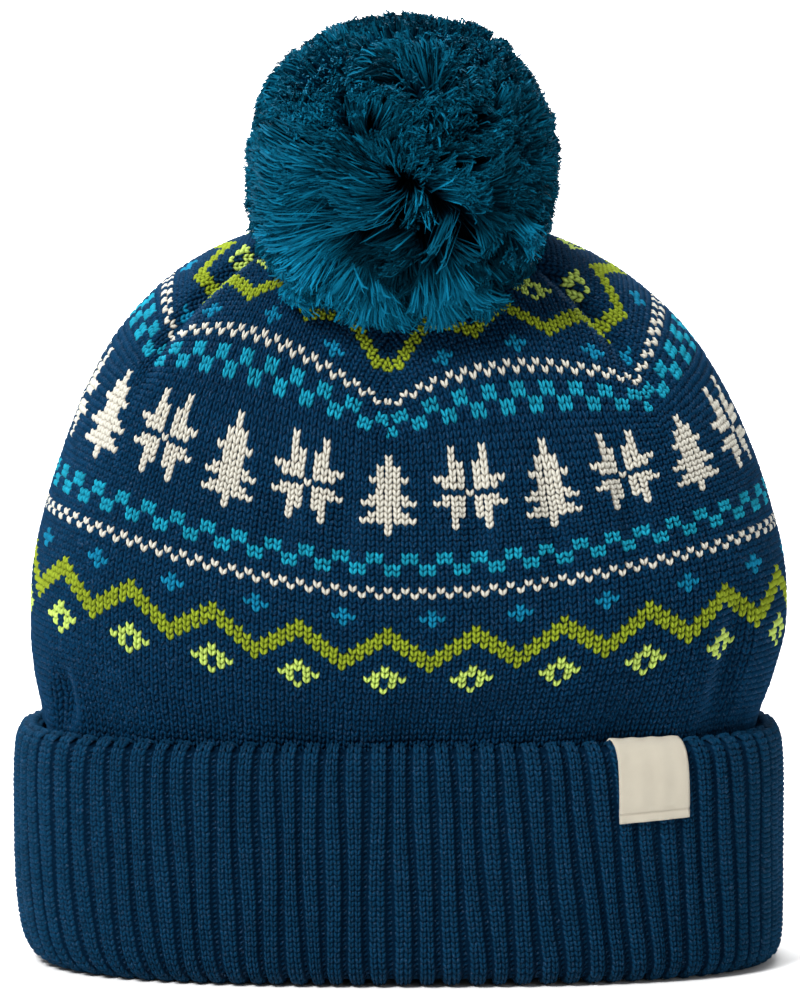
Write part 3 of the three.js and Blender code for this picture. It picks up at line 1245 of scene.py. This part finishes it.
@dataclass
class Cuff:
    """The ribbed band, folded up on itself.

    The profile and the inner wall are pairs of a distance out from the mouth and a height. A twist is a
    middle, a half width and an amount in ribs, and a wave of the wobble is a climb in millimetres and a
    number of waves round.
    """

    half_width: float = 101.0
    half_depth: float = 46.0
    squareness: float = 2.6
    height: float = 69.0
    ribs: int = 88
    rib_depth: float = 1.95
    rib_round: float = 2.4
    wale: float = 0.165
    purl_wale: float = 0.25
    row_pitch: float = 1.47
    row_ends: Range = (0.6, 0.4)
    purl_short: int = 3
    lean: float = 5.0
    lean_range: Range = (-40.0, -110.0)
    lean_power: int = 6
    twists: tuple[tuple[float, float, float], ...] = ((-0.15, 0.16, 0.65), (0.10, 0.13, 1.2))
    twist_power: float = 1.5
    wobble: float = 0.04
    wobble_waves: tuple[tuple[float, int], ...] = ((17.0, 34), (9.5, -24), (31.0, 13))
    profile: tuple[Range, ...] = (
        (2.4, 2.7),
        (4.6, 2.55),
        (7.0, 3.9),
        (8.1, 8.0),
        (8.3, 16.0),
        (8.3, 30.0),
        (8.3, 44.0),
        (8.2, 56.0),
        (7.6, 64.0),
        (6.2, 67.2),
        (4.6, 67.0),
        (3.9, 64.5),
    )
    inner: tuple[Range, ...] = ((3.4, 60.0), (0.4, 60.0), (0.2, 50.0), (0.2, 12.0), (0.6, 4.0))
    cloth_sink: float = 0.35
    cloth_levels: int = 26
    rib_points: int = 8
    levels: int = 600
    grid: tuple[int, int] = (240, 1440)
    stitch: KnitStitch = KnitStitch(foot=0.07, spread=0.32, crest=0.5)
    knit_seed: int = 11
    purl_seed: int = 12
    sway: float = 0.03
    knit_uneven: float = 0.04
    purl_uneven: float = 0.05
    sheet: Sheet = field(init=False)
    run: float = field(init=False)

    def __post_init__(self) -> None:
        """Works out the band's outer skin from the fold to its top edge."""
        up, around = self.grid
        dense = spline(np.array(self.profile), self.levels)
        run = runs(dense)
        self.run = float(run[-1])
        even = np.linspace(0.0, self.run, up)
        turns = np.arange(around) / around
        level = zip(np.interp(even, run, dense[:, 0]), np.interp(even, run, dense[:, 1]))
        self.sheet = Sheet(np.array([self.ring(out, z, turns) for out, z in level]))

    def ring(self, out: float, z: float, turns: Array) -> Array:
        """Gives a level ring at a distance out from the mouth."""
        flat = flat_ring(self.half_width + out, self.half_depth + out, self.squareness, turns)
        return np.column_stack([flat, np.full(len(turns), z)])

    def relief(self, rib: Array) -> Array:
        """Gives the height of the ribs, from the place across them in ribs."""
        return self.rib_depth * (1.0 - np.abs(2.0 * short_way(rib, 0.0)) ** self.rib_round)

    def place(self, rib: Array, up: Array, lift: Array) -> Array:
        """Puts points on the band.

        Args:
            rib: place round it, in ribs from the front middle.
            up: millimetres along the skin from the fold.
            lift: height over the ribbed surface.

        Returns:
            The points.
        """
        low = 1.0 - up / self.run
        turn = rib / self.ribs
        wobble = sum(np.sin(up / climb + waves * TURN * turn) for climb, waves in self.wobble_waves)
        twist = sum(much * bump(short_way(turn, middle), half) for middle, half, much in self.twists)
        moved = (rib + self.wobble * wobble + twist * low**self.twist_power) / self.ribs
        return self.slack(self.sheet.place(moved, up / self.run, lift + self.relief(rib)))

    def slack(self, points: Array) -> Array:
        """Draws the fold in at its left corner, where the band leans.

        Args:
            points: points of the band.

        Returns:
            The moved points.
        """
        low = 1.0 - np.clip(points[..., 2] / self.height, 0.0, 1.0)
        moved = points.copy()
        moved[..., 0] += self.lean * smoothstep(*self.lean_range, points[..., 0]) * low**self.lean_power
        return moved

    def build(self) -> list[Piece]:
        """Makes the band and its stitches."""
        return [self.cloth(), *self.knit(), self.purl()]

    def cloth(self) -> Piece:
        """Makes the band under the stitches.

        Returns:
            The piece.
        """
        rib = np.arange(self.ribs * self.rib_points) / self.rib_points
        same = np.ones_like(rib)
        heights = np.linspace(0.0, self.run, self.cloth_levels)
        rings = [self.place(rib, up * same, -self.cloth_sink * same) for up in heights]
        rings += [self.slack(self.ring(out, z, rib / self.ribs)) for out, z in self.inner]
        # the cloth under the stitches is painted near black, as shade between them and inside the hat
        piece = dress(piece_from("cuff_cloth", lofted(rings)), SHADE_BACKING_FINISH.material(), Slot.RIB)
        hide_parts("cuff")
        return piece

    def rows(self) -> Array:
        """Gives the heights of the rows along the skin."""
        first, last = (end * self.row_pitch for end in self.row_ends)
        return np.arange(first, self.run - last, self.row_pitch)

    def knit(self) -> list[Piece]:
        """Makes the two knit wales of each rib.

        Returns:
            The front piece and the back piece.
        """
        rng = np.random.default_rng(self.knit_seed)
        stitch = self.stitch.stamp()
        across, up, out = stitch.vertices.T
        spots = np.meshgrid(np.arange(self.ribs), (-self.wale, self.wale), self.rows(), indexing="ij")
        rib, side, high = (spot.reshape(-1, 1) for spot in spots)
        sway = rng.normal(0.0, self.sway, (2, len(rib), 1))
        places = self.place(
            rib + side + 2 * self.wale * (across + sway[0]),
            high + self.row_pitch * (up + sway[1]),
            out + rng.normal(0.0, self.knit_uneven, (len(rib), 1)),
        )
        tone = rng.random(len(rib))
        material = RIB_FINISH.material()
        parts = front_and_back("cuff_knit", places).items()
        return [stitch.laid(name, places[part], tone[part], material, Slot.RIB) for name, part in parts]

    def purl(self) -> Piece:
        """Makes the purl wale in the valley beside each rib.

        Returns:
            The piece.
        """
        rng = np.random.default_rng(self.purl_seed)
        stitch = PurlBump().stamp()
        across, up, out = stitch.vertices.T
        rows = self.rows()[: -self.purl_short]
        spots = np.meshgrid(np.arange(self.ribs) + 0.5, rows, indexing="ij")
        rib, high = (spot.reshape(-1, 1) for spot in spots)
        lift = out + rng.normal(0.0, self.purl_uneven, (len(rib), 1))
        places = self.place(rib + self.purl_wale * across, high + self.row_pitch * up, lift)
        tone = rng.random(len(rib))
        # the purl wales take the darker navy, as painted shade in the valleys
        return stitch.laid("cuff_purl", places, tone, SHADED_HOLLOW_FINISH.material(), Slot.RIB)


# Pompom


@dataclass(frozen=True)
class Lobe:
    """A side that a part of the pompom leans to, and the painted light and shade of its yarn there."""

    x: float
    y: float
    z: float
    tone: float


@dataclass(frozen=True)
class Gather:
    """One size of the bundles that strands gather in.

    Pull and astray are shares for the closed pile and for the openings. Shade and power turn a bundle's
    lightness into tone. Bundles that hang make the fringe.
    """

    pull: Range
    astray: Range
    uneven: float
    shade: float
    power: float = 1.0
    hang: float = 0.0
    count: int = 0
    scatter: float = 0.0

    def spread(self, rng: Random) -> Array:
        """Gives the directions of the bundles' middles."""
        return unit(sphere_spread(self.count) + rng.normal(0.0, self.scatter, (self.count, 3)))


@dataclass(frozen=True)
class Opening:
    """A place where the pile parts: its side, how far strands turn from it, and where most of them go.

    Turn and reach are in degrees.
    """

    x: float
    y: float
    z: float
    turn: float
    reach: float
    lean_x: float
    lean_z: float
    bundles: int = 9
    binding: float = 0.66
    binding_power: float = 0.4
    uneven: float = 0.45
    least: float = 0.2
    lean_range: Range = (-0.5, 0.4)
    outer_layer: float = 0.9
    jitter: float = 0.35
    gain_range: Range = (0.25, 1.5)
    tone_power: float = 1.5
    tone_drop: float = 0.4

    def axis(self) -> Array:
        """Gives the direction of its middle."""
        return unit(np.array([self.x, self.y, self.z]))

    def angle(self, directions: Array) -> Array:
        """Gives the angle between directions and its middle."""
        return np.arccos(np.clip(directions @ self.axis(), -1.0, 1.0))

    def share(self, directions: Array) -> Array:
        """Gives how much strands take part.

        Args:
            directions: the directions in which the strands start.

        Returns:
            Shares from 0 to 1.
        """
        axis = self.axis()
        along = np.clip(directions @ axis, -1.0, 1.0)
        away = unit(directions - along[:, None] * axis)
        lean = unit(np.array([self.lean_x, 0.0, self.lean_z]))
        gate = self.least + (1.0 - self.least) * smoothstep(*self.lean_range, away @ lean)
        return gate * np.exp(-((np.degrees(self.angle(directions)) / self.reach) ** 2))

    def parted(self, roots: Array, tips: Array, rng: Random) -> tuple[Array, Array, Array]:
        """Turns strands away from the opening, in two layers of bundles round it.

        Args:
            roots: the directions in which the strands start.
            tips: the directions in which they end.
            rng: the source of the bundles' irregularity.

        Returns:
            The changed roots and tips, and a tone for each strand.
        """
        axis = self.axis()
        side = unit(np.cross(axis, (0.0, 0.0, 1.0)))
        rise = np.cross(side, axis)
        share = self.share(roots)
        layer = (np.degrees(self.angle(roots)) > self.outer_layer * self.reach).astype(int)
        shape = (2, self.bundles)
        jitter = rng.uniform(-self.jitter, self.jitter, shape)
        middles = (np.arange(self.bundles) + jitter) / self.bundles
        gains = np.clip(rng.normal(1.0, self.uneven, shape), *self.gain_range)
        tones = rng.random(shape) ** self.tone_power - self.tone_drop
        way = np.arctan2(roots @ rise, roots @ side)
        off = short_way(way[:, None] / TURN, middles[layer])
        mine = np.argmin(np.abs(off), axis=1)
        swing = -TURN * self.binding * share**self.binding_power * off[np.arange(len(off)), mine]
        gain = gains[layer, mine]
        changed = []
        for ends, turn in ((roots, 0.0), (tips, self.turn)):
            angle = self.angle(ends) + np.radians(turn * gain * share)
            way = np.arctan2(ends @ rise, ends @ side) + swing
            flat = np.cos(way)[:, None] * side + np.sin(way)[:, None] * rise
            changed.append(np.cos(angle)[:, None] * axis + np.sin(angle)[:, None] * flat)
        return changed[0], changed[1], share * tones[layer, mine]


@dataclass
class Pompom:
    """Cut yarn in tufts that stand out of a round head on top of the crown.

    Cover, head, root and lengths are shares of the radius, other sizes are in millimetres. The fringe
    is where locks hang loose at the lower front, and fringe even is the lightness at which they keep
    their length and their tone. Seat clear is at the root, and what is added to it at the tip.
    """

    centre: Point = (1.3, -15.0, 229.0)
    radius: float = 45.0
    cover: float = 0.72
    seed: int = 23
    sides: tuple[str, ...] = ("left", "right", "back")
    head: float = 0.5
    head_steps: int = 4
    head_clear: float = 0.5
    root: float = 0.38
    strands: int = 74000
    scatter: float = 0.012
    length: float = 0.975
    longest: float = 1.01
    uneven: float = 0.009
    tone_spread: float = 0.18
    # a few strands at random are painted lighter, as highlights
    glint_share: float = 0.06
    glint_tone: float = 0.6
    opening_tone: float = 1.3
    stray_share: float = 0.0008
    stray_length: float = 0.06
    fullness: float = 2.3
    wander: Range = (0.06, 0.22)
    wander_waves: int = 9
    wander_pitch: float = 4.2
    fray: float = 0.10
    bend: float = 0.022
    turn_power: float = 1.8
    reach_power: float = 1.7
    droop: float = 2.0
    curl: float = 0.55
    thickness: float = 0.23
    thick_range: Range = (0.75, 1.25)
    stations: tuple[float, ...] = (0.0, 0.55, 0.93, 1.0)
    swell: tuple[float, ...] = (0.7, 1.0, 1.05, 0.9)
    fringe_low: Range = (0.0, -0.45)
    fringe_front: Range = (0.1, -0.4)
    fringe_pull: float = 0.85
    fringe_length: float = 0.16
    fringe_light: float = 0.8
    fringe_even: Range = (0.3, 0.4)
    fringe_longest: float = 0.10
    lobe_gather: Gather = Gather((0.11, 0.11), (0.0, 0.0), 0.008, 0.36)
    locks: Gather = Gather(
        (0.10, 0.25), (0.03, 0.08), 0.010, 0.52, power=2.0, hang=1.0, count=320, scatter=0.07
    )
    tufts: Gather = Gather((0.42, 0.15), (0.022, 0.03), 0.008, 0.34, count=2400, scatter=0.04)
    openings: tuple[Opening, ...] = (
        Opening(-0.14, -1.00, 0.02, 30.0, 45.0, -0.25, -1.0),
        Opening(0.13, -0.77, 0.62, 13.0, 14.0, 1.0, 0.4),
        Opening(-0.35, 0.90, 0.15, 18.0, 24.0, 0.6, -0.8),
    )
    # each lobe's last value is painted light and shade: lighter on the lit left, darker on the right, at
    # the front middle and below
    lobes: tuple[Lobe, ...] = (
        Lobe(-0.62, -0.70, 0.36, 0.9),
        Lobe(-0.66, -0.66, -0.36, 1.0),
        Lobe(0.60, -0.78, 0.02, 0.1),
        Lobe(0.02, -0.95, 0.26, 0.0),
        Lobe(0.34, -0.52, 0.78, 0.5),
        Lobe(-0.22, -0.30, 0.92, 0.5),
        Lobe(0.05, -0.80, -0.58, 0.1),
        Lobe(0.55, -0.55, -0.62, 0.1),
        Lobe(0.92, 0.05, 0.38, 0.2),
        Lobe(-0.95, 0.20, 0.10, 0.7),
        Lobe(0.10, 0.62, 0.78, 0.5),
        Lobe(0.60, 0.78, -0.05, 0.4),
        Lobe(-0.50, 0.84, 0.10, 0.6),
        Lobe(0.02, 0.86, -0.50, 0.5),
    )
    seat_middle: Point = (0.8, 0.0, 100.0)
    seat_reach: Point = (108.3, 50.0, 116.0)
    seat_clear: Range = (0.8, 1.5)
    seat_drop: float = 0.85

    def covers(self, points: Array) -> Array:
        """Tells which points lie well inside the pompom."""
        return np.linalg.norm(points - np.array(self.centre), axis=-1) < self.cover * self.radius

    def seat_depth(self, points: Array) -> Array:
        """Gives how far out points lie from the crown's middle, 1 on its surface."""
        off = points - np.array(self.seat_middle)
        return np.linalg.norm(off / np.array(self.seat_reach), axis=-1)

    def seated(self, points: Array, clear: float) -> Array:
        """Moves points that would sink in the crown up to its surface.

        Args:
            points: the points.
            clear: millimetres that they keep from it.

        Returns:
            The moved points.
        """
        middle = np.array(self.seat_middle)
        reach = np.array(self.seat_reach) + clear
        off = (points - middle) / reach
        far = np.linalg.norm(off, axis=-1, keepdims=True)
        return np.where(far < 1.0, middle + off / np.maximum(far, LEAST) * reach, points)

    def wandering(self, directions: Array, rng: Random) -> Array:
        """Gives a smooth push over the sphere, by which yarn lies combed different ways.

        Args:
            directions: where the push is wanted.
            rng: the source of its irregularity.

        Returns:
            One push for each direction.
        """
        waves = self.wander_pitch * rng.normal(size=(self.wander_waves, 3))
        pushes = rng.normal(size=(self.wander_waves, 3)) / math.sqrt(self.wander_waves)
        starts = rng.uniform(0.0, TURN, self.wander_waves)
        return np.sin(directions @ waves.T + starts) @ pushes

    def bundles(self, rng: Random) -> list[tuple[Gather, Array, Array]]:
        """Lists the lobes, locks and tufts.

        Args:
            rng: the source of their irregularity.

        Returns:
            How strands gather in each kind, and the middles and the lightness of its bundles.
        """
        lobes = np.array([astuple(lobe) for lobe in self.lobes])
        locks, tufts = self.locks.spread(rng), self.tufts.spread(rng)
        lock_light, tuft_light = rng.random(self.locks.count), rng.random(self.tufts.count)
        return [
            # the lobes' lightness is painted light and shade
            (self.lobe_gather, unit(lobes[:, :3]), lobes[:, 3]),
            (self.locks, locks, lock_light),
            (self.tufts, tufts, tuft_light),
        ]

    def gathered(self, roots: Array, rng: Random) -> tuple[Array, Array, Array]:
        """Gathers the strands in lobes, locks and tufts.

        Args:
            roots: the directions in which the strands start.
            rng: the source of their irregularity.

        Returns:
            Each strand's end, before it is scaled to a direction, its length and its tone.
        """
        open_share = np.max([opening.share(roots) for opening in self.openings], axis=0)[:, None]
        tips = roots + between(self.wander, open_share) * self.wandering(roots, rng)
        long = self.length + rng.normal(0.0, self.uneven, self.strands)
        tone = self.tone_spread * rng.random(self.strands)
        # painted highlights on a few strands at random
        tone += self.glint_tone * (rng.random(self.strands) < self.glint_share)
        frayed = unit(roots + self.fray * self.wandering(roots, rng))
        even_length, even_light = self.fringe_even
        fringe = smoothstep(*self.fringe_low, roots[:, 2]) * smoothstep(*self.fringe_front, roots[:, 1])
        for gather, middles, light in self.bundles(rng):
            mine = nearest(frayed, middles)
            swept = rng.normal(size=middles.shape)
            hang = gather.hang * fringe
            pull = between(gather.pull, open_share) + self.fringe_pull * hang[:, None]
            astray = between(gather.astray, open_share)
            tips = tips + pull * (middles[mine] - frayed) + astray * swept[mine]
            long += rng.normal(0.0, gather.uneven, len(middles))[mine]
            long += self.fringe_length * hang * (light[mine] - even_length)
            tone += gather.shade * light[mine] ** gather.power
            tone += self.fringe_light * hang * (light[mine] - even_light)
        return tips, np.minimum(long, self.longest + self.fringe_longest * fringe), tone

    def paths(self, rng: Random) -> tuple[Array, Array]:
        """Lays out the strands.

        Args:
            rng: the source of their irregularity.

        Returns:
            The points of each strand, and its tone.
        """
        roots = unit(sphere_spread(self.strands) + rng.normal(0.0, self.scatter, (self.strands, 3)))
        tips, long, tone = self.gathered(roots, rng)
        tips = unit(tips + rng.normal(0.0, self.scatter, tips.shape))
        for opening in self.openings:
            roots, tips, shade = opening.parted(roots, tips, rng)
            tone += self.opening_tone * shade
        stray = (rng.random(self.strands) < self.stray_share) * rng.random(self.strands)
        full = (np.abs(tips) ** self.fullness).sum(axis=1) ** (-1.0 / self.fullness)
        far_end = self.radius * full * (long + self.stray_length * stray)
        paths = self.bent(roots, tips, far_end, rng)
        keep = self.seat_depth(np.array(self.centre) + tips * far_end[:, None]) > self.seat_drop
        return paths[keep], np.maximum(tone, 0.0)[keep]

    def bent(self, roots: Array, tips: Array, far_end: Array, rng: Random) -> Array:
        """Bends the strands from their roots to their tips.

        Args:
            roots: the directions in which they start.
            tips: the directions in which they end.
            far_end: how far from the middle they end.
            rng: the source of their irregularity.

        Returns:
            One row of points for each strand.
        """
        near_end = self.root * self.radius
        bend = rng.normal(0.0, self.bend, roots.shape)
        clear, more = self.seat_clear
        points = []
        for t in self.stations:
            way = unit(roots + (tips - roots) * t**self.turn_power + bend * math.sin(math.pi * t))
            reach = near_end + (far_end - near_end) * (1.0 - (1.0 - t) ** self.reach_power)
            point = np.array(self.centre) + way * reach[:, None]
            point[:, 2] -= self.droop * t**2 * (1.0 - way[:, 2] ** 2)
            points.append(self.seated(point, clear + more * t))
        points[-1] = points[-1] + self.curl * unit(rng.normal(size=roots.shape))
        return np.stack(points, axis=1)

    def build(self) -> list[Piece]:
        """Makes the head and the strands.

        Returns:
            The pieces.
        """
        rng = np.random.default_rng(self.seed)
        paths, tone = self.paths(rng)
        material = PILE_FINISH.material()
        pieces = [self.core(material)]
        off = paths[:, -1] - np.array(self.centre)
        way = np.degrees(np.arctan2(off[:, 0], off[:, 1])) + 180.0
        sector = np.minimum(np.floor(way / (360.0 / len(self.sides))), len(self.sides) - 1)
        for number, side in enumerate(self.sides):
            part = sector == number
            pile = self.pile(f"pompom_pile_{side}", paths[part], tone[part], rng)
            pieces.append(dress(pile, material, Slot.POMPOM))
        return pieces

    def core(self, material: Material) -> Piece:
        """Makes the head that the strands stand on, dark with the pile's painted root shade.

        Args:
            material: its material.

        Returns:
            The piece.
        """
        bm = bmesh.new()
        bmesh.ops.create_icosphere(bm, subdivisions=self.head_steps, radius=self.head * self.radius)
        bmesh.ops.translate(bm, vec=self.centre, verts=bm.verts[:])
        move_to(bm, self.seated(np.array([v.co[:] for v in bm.verts]), self.head_clear))
        piece = dress(piece_from("pompom_head", bm), material, Slot.POMPOM)
        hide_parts("pompom")
        return piece

    def pile(self, name: str, paths: Array, tone: Array, rng: Random) -> Piece:
        """Makes strands from a narrow blank that is bent along each path.

        Args:
            name: the piece's name.
            paths: one row of points for each strand.
            tone: each strand's tone.
            rng: the source of their irregularity.

        Returns:
            The piece.
        """
        steps = len(self.stations) - 1
        bm = bmesh.new()
        bmesh.ops.create_grid(bm, x_segments=1, y_segments=steps, size=1.0)
        blank, triangles = mesh_arrays(bm)
        station = np.rint((blank[:, 1] + 1.0) / 2.0 * steps).astype(int)
        ahead = unit(np.gradient(paths, axis=1))
        beside = unit(np.cross(ahead, rng.normal(size=(len(paths), 1, 3))))
        thick = self.thickness * rng.uniform(*self.thick_range, len(paths))[:, None, None]
        swell = np.array(self.swell)[station][None, :, None]
        places = paths[:, station] + thick * swell * blank[None, :, :1] * beside[:, station]
        along = np.array(self.stations)[station][None]
        return stamped(name, places, triangles, {"tone": tone[:, None], "along": along})


# Label


@dataclass
class Label:
    """A short tape folded over the cuff's top edge."""

    cuff: Cuff
    across: float = 73.0
    out: float = 10.0
    width: float = 21.0
    low: float = 47.0
    short: float = 0.6
    tilt: float = 0.05
    hem: float = 2.6
    hem_reach: float = 1.6
    hem_sink: float = 0.28
    ripple: float = 0.12
    thickness: float = 0.7
    clear: float = 0.75
    grid: tuple[int, int] = (28, 44)

    def build(self) -> Piece:
        """Bends a flat strip over the ribs and the top edge, and thickens it.

        Returns:
            The piece.
        """
        start, long = self.span()
        columns, rows = self.grid
        bm = bmesh.new()
        bmesh.ops.create_grid(bm, x_segments=columns, y_segments=rows, size=0.5)
        layer = bm.loops.layers.uv.new("flat")
        for face in bm.faces:
            for loop in face.loops:
                loop[layer].uv = (loop.vert.co.x * self.width, (loop.vert.co.y + 0.5) * long)
        flat = np.array([v.co[:] for v in bm.verts])
        spots = self.bent(flat[:, 0] * self.width, (flat[:, 1] + 0.5) * long, start, long)
        move_to(bm, spots)
        bmesh.ops.recalc_face_normals(bm, faces=bm.faces[:])
        bmesh.ops.solidify(bm, geom=bm.faces[:], thickness=self.thickness)
        piece = dress(piece_from("label_tape", bm), TAPE_FINISH.material(), Slot.LABEL)
        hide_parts("label")
        cut = float(runs(spots[np.abs(flat[:, 0]) < NEAR])[-1])
        return piece

    def span(self) -> Range:
        """Finds where the tape lies along the cuff's skin.

        Returns:
            The way from the fold to its lower end, and its length.
        """
        heights = self.cuff.sheet.points[:, 0, 2]
        rising = np.argmax(heights)
        ways = np.linspace(0.0, self.cuff.run, len(heights))
        start = float(np.interp(self.low, heights[:rising], ways[:rising]))
        return start, self.cuff.run - start - self.short

    def bent(self, side: Array, up: Array, start: float, long: float) -> Array:
        """Lays points of the flat tape on the cuff.

        Args:
            side: millimetres from the tape's middle line.
            up: millimetres from its lower end.
            start: the way from the cuff's fold to its lower end.
            long: its length.

        Returns:
            The points.
        """
        quarter, whole = np.linspace(0.0, 0.25, 400), np.linspace(0.0, 1.0, 720)
        middle = float(np.interp(self.across, self.cuff.ring(self.out, 0.0, quarter)[:, 0], quarter))
        turn = middle + side / runs(self.cuff.ring(self.out, 0.0, whole))[-1]
        tilted = up + self.tilt * side * (1.0 - up / long)
        sunk = self.hem_sink * (1.0 - smoothstep(0.0, self.hem_reach, np.abs(up - self.hem)))
        ripple = self.ripple * np.cos(TURN * turn * self.cuff.ribs)
        lift = self.cuff.rib_depth + self.clear + ripple - sunk
        return self.cuff.sheet.place(turn, (start + tilted) / self.cuff.run, lift)


# Studio


@dataclass(frozen=True)
class Lamp:
    """A soft square light: its place, size, power and aim."""

    name: str
    spot: Point
    size: float
    power: float
    aim: Point = (0.0, 0.0, 0.14)

    def hang(self) -> None:
        """Puts the light in the scene, out of the camera's sight."""
        light = bpy.data.lights.new(self.name, "AREA")
        light.size = self.size
        light.energy = self.power
        lamp = bpy.data.objects.new(self.name, light)
        lamp.location = self.spot
        lamp.visible_camera = False
        lamp.rotation_euler = (Vector(self.aim) - Vector(self.spot)).to_track_quat("-Z", "Y").to_euler()
        bpy.context.scene.collection.objects.link(lamp)


@dataclass
class Studio:
    """The floor with its sweep, the lights and the camera, in metres and degrees."""

    azimuth: float = 0.0
    elevation: float = 6.0
    distance: float = 1.7
    frame_height: float = 0.2905
    target: Point = (0.0004, 0.0, 0.1320)
    sensor: float = 36.0
    sight: float = 50.0
    floor_reach: float = 9.0
    wall_at: float = 2.6
    wall_height: float = 3.0
    wall_bend: float = 1.0
    bend_steps: int = 16
    sky: float = 0.24
    lamps: tuple[Lamp, ...] = (
        Lamp("key_light", (-0.98, -1.22, 1.78), 0.7, 70.0),
        Lamp("fill_light", (1.3, -1.5, 0.6), 1.2, 4.0),
        Lamp("top_light", (-0.3, 0.2, 1.7), 1.0, 14.0),
        Lamp("wall_light", (0.0, 1.2, 2.4), 2.0, 150.0, aim=(0.0, 2.6, 0.6)),
    )

    def build(self) -> None:
        """Lays the floor, hangs the lights and sets the camera."""
        self.floor()
        for lamp in self.lamps:
            lamp.hang()
        world = bpy.data.worlds.new("studio")
        world.use_nodes = True
        sky = next(n for n in world.node_tree.nodes if n.type == "BACKGROUND")
        sky.inputs["Color"].default_value = (*WHITE, 1.0)
        sky.inputs["Strength"].default_value = self.sky
        bpy.context.scene.world = world
        bpy.context.scene.view_settings.view_transform = "Standard"
        self.camera()

    def floor(self) -> None:
        """Lays a wide pale floor that sweeps up far behind the hat."""
        bm = bmesh.new()
        bmesh.ops.create_grid(bm, x_segments=1, y_segments=1, size=self.floor_reach)
        bmesh.ops.translate(bm, vec=(0.0, self.wall_at - self.floor_reach, 0.0), verts=bm.verts[:])
        back = [e for e in bm.edges if all(v.co.y > 0.0 for v in e.verts)]
        risen = bmesh.ops.extrude_edge_only(bm, edges=back)["geom"]
        top = chosen(risen, bmesh.types.BMVert)
        bmesh.ops.translate(bm, vec=(0.0, 0.0, self.wall_height), verts=top)
        bmesh.ops.bevel(
            bm,
            geom=back,
            offset=self.wall_bend,
            affect="EDGES",
            segments=self.bend_steps,
            profile=0.5,
            material=-1,
        )
        bmesh.ops.recalc_face_normals(bm, faces=bm.faces[:])
        floor = piece_from("floor", bm, 1.0)
        floor.data.materials.append(FLOOR_FINISH.material())
        floor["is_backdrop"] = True

    def camera(self) -> None:
        """Sets a long lens in front of the hat, a little above it."""
        lens = bpy.data.cameras.new("camera")
        lens.sensor_width = self.sensor
        lens.lens = self.sensor * self.distance / self.frame_height
        lens.clip_end = self.sight
        camera = bpy.data.objects.new("camera", lens)
        turn, rise = math.radians(self.azimuth), math.radians(self.elevation)
        level = math.cos(rise)
        way = Vector((math.sin(turn) * level, -math.cos(turn) * level, math.sin(rise)))
        camera.location = Vector(self.target) + self.distance * way
        camera.rotation_euler = (-way).to_track_quat("-Z", "Y").to_euler()
        bpy.context.scene.collection.objects.link(camera)
        bpy.context.scene.camera = camera


def plain(box: Any) -> list[list[float]]:
    """Turns a box into plain lists of numbers."""
    return [[float(value) for value in corner] for corner in box]


def main() -> None:
    """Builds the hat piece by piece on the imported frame, then the studio."""
    logging.basicConfig(level=logging.INFO, format="%(name)s: %(message)s")
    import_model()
    solid_box = plain(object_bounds())
    pompom = Pompom()
    cuff = Cuff()
    pieces = [*Crown().build(pompom.covers), *cuff.build(), *pompom.build(), Label(cuff).build()]
    for piece in pieces:
        piece.data.calc_loop_triangles()
        log.info("%s: %d triangles", piece.name, len(piece.data.loop_triangles))
    Studio().build()
    {"cad": solid_box, "visual": plain(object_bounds())}


if __name__ == "__main__":
    main()
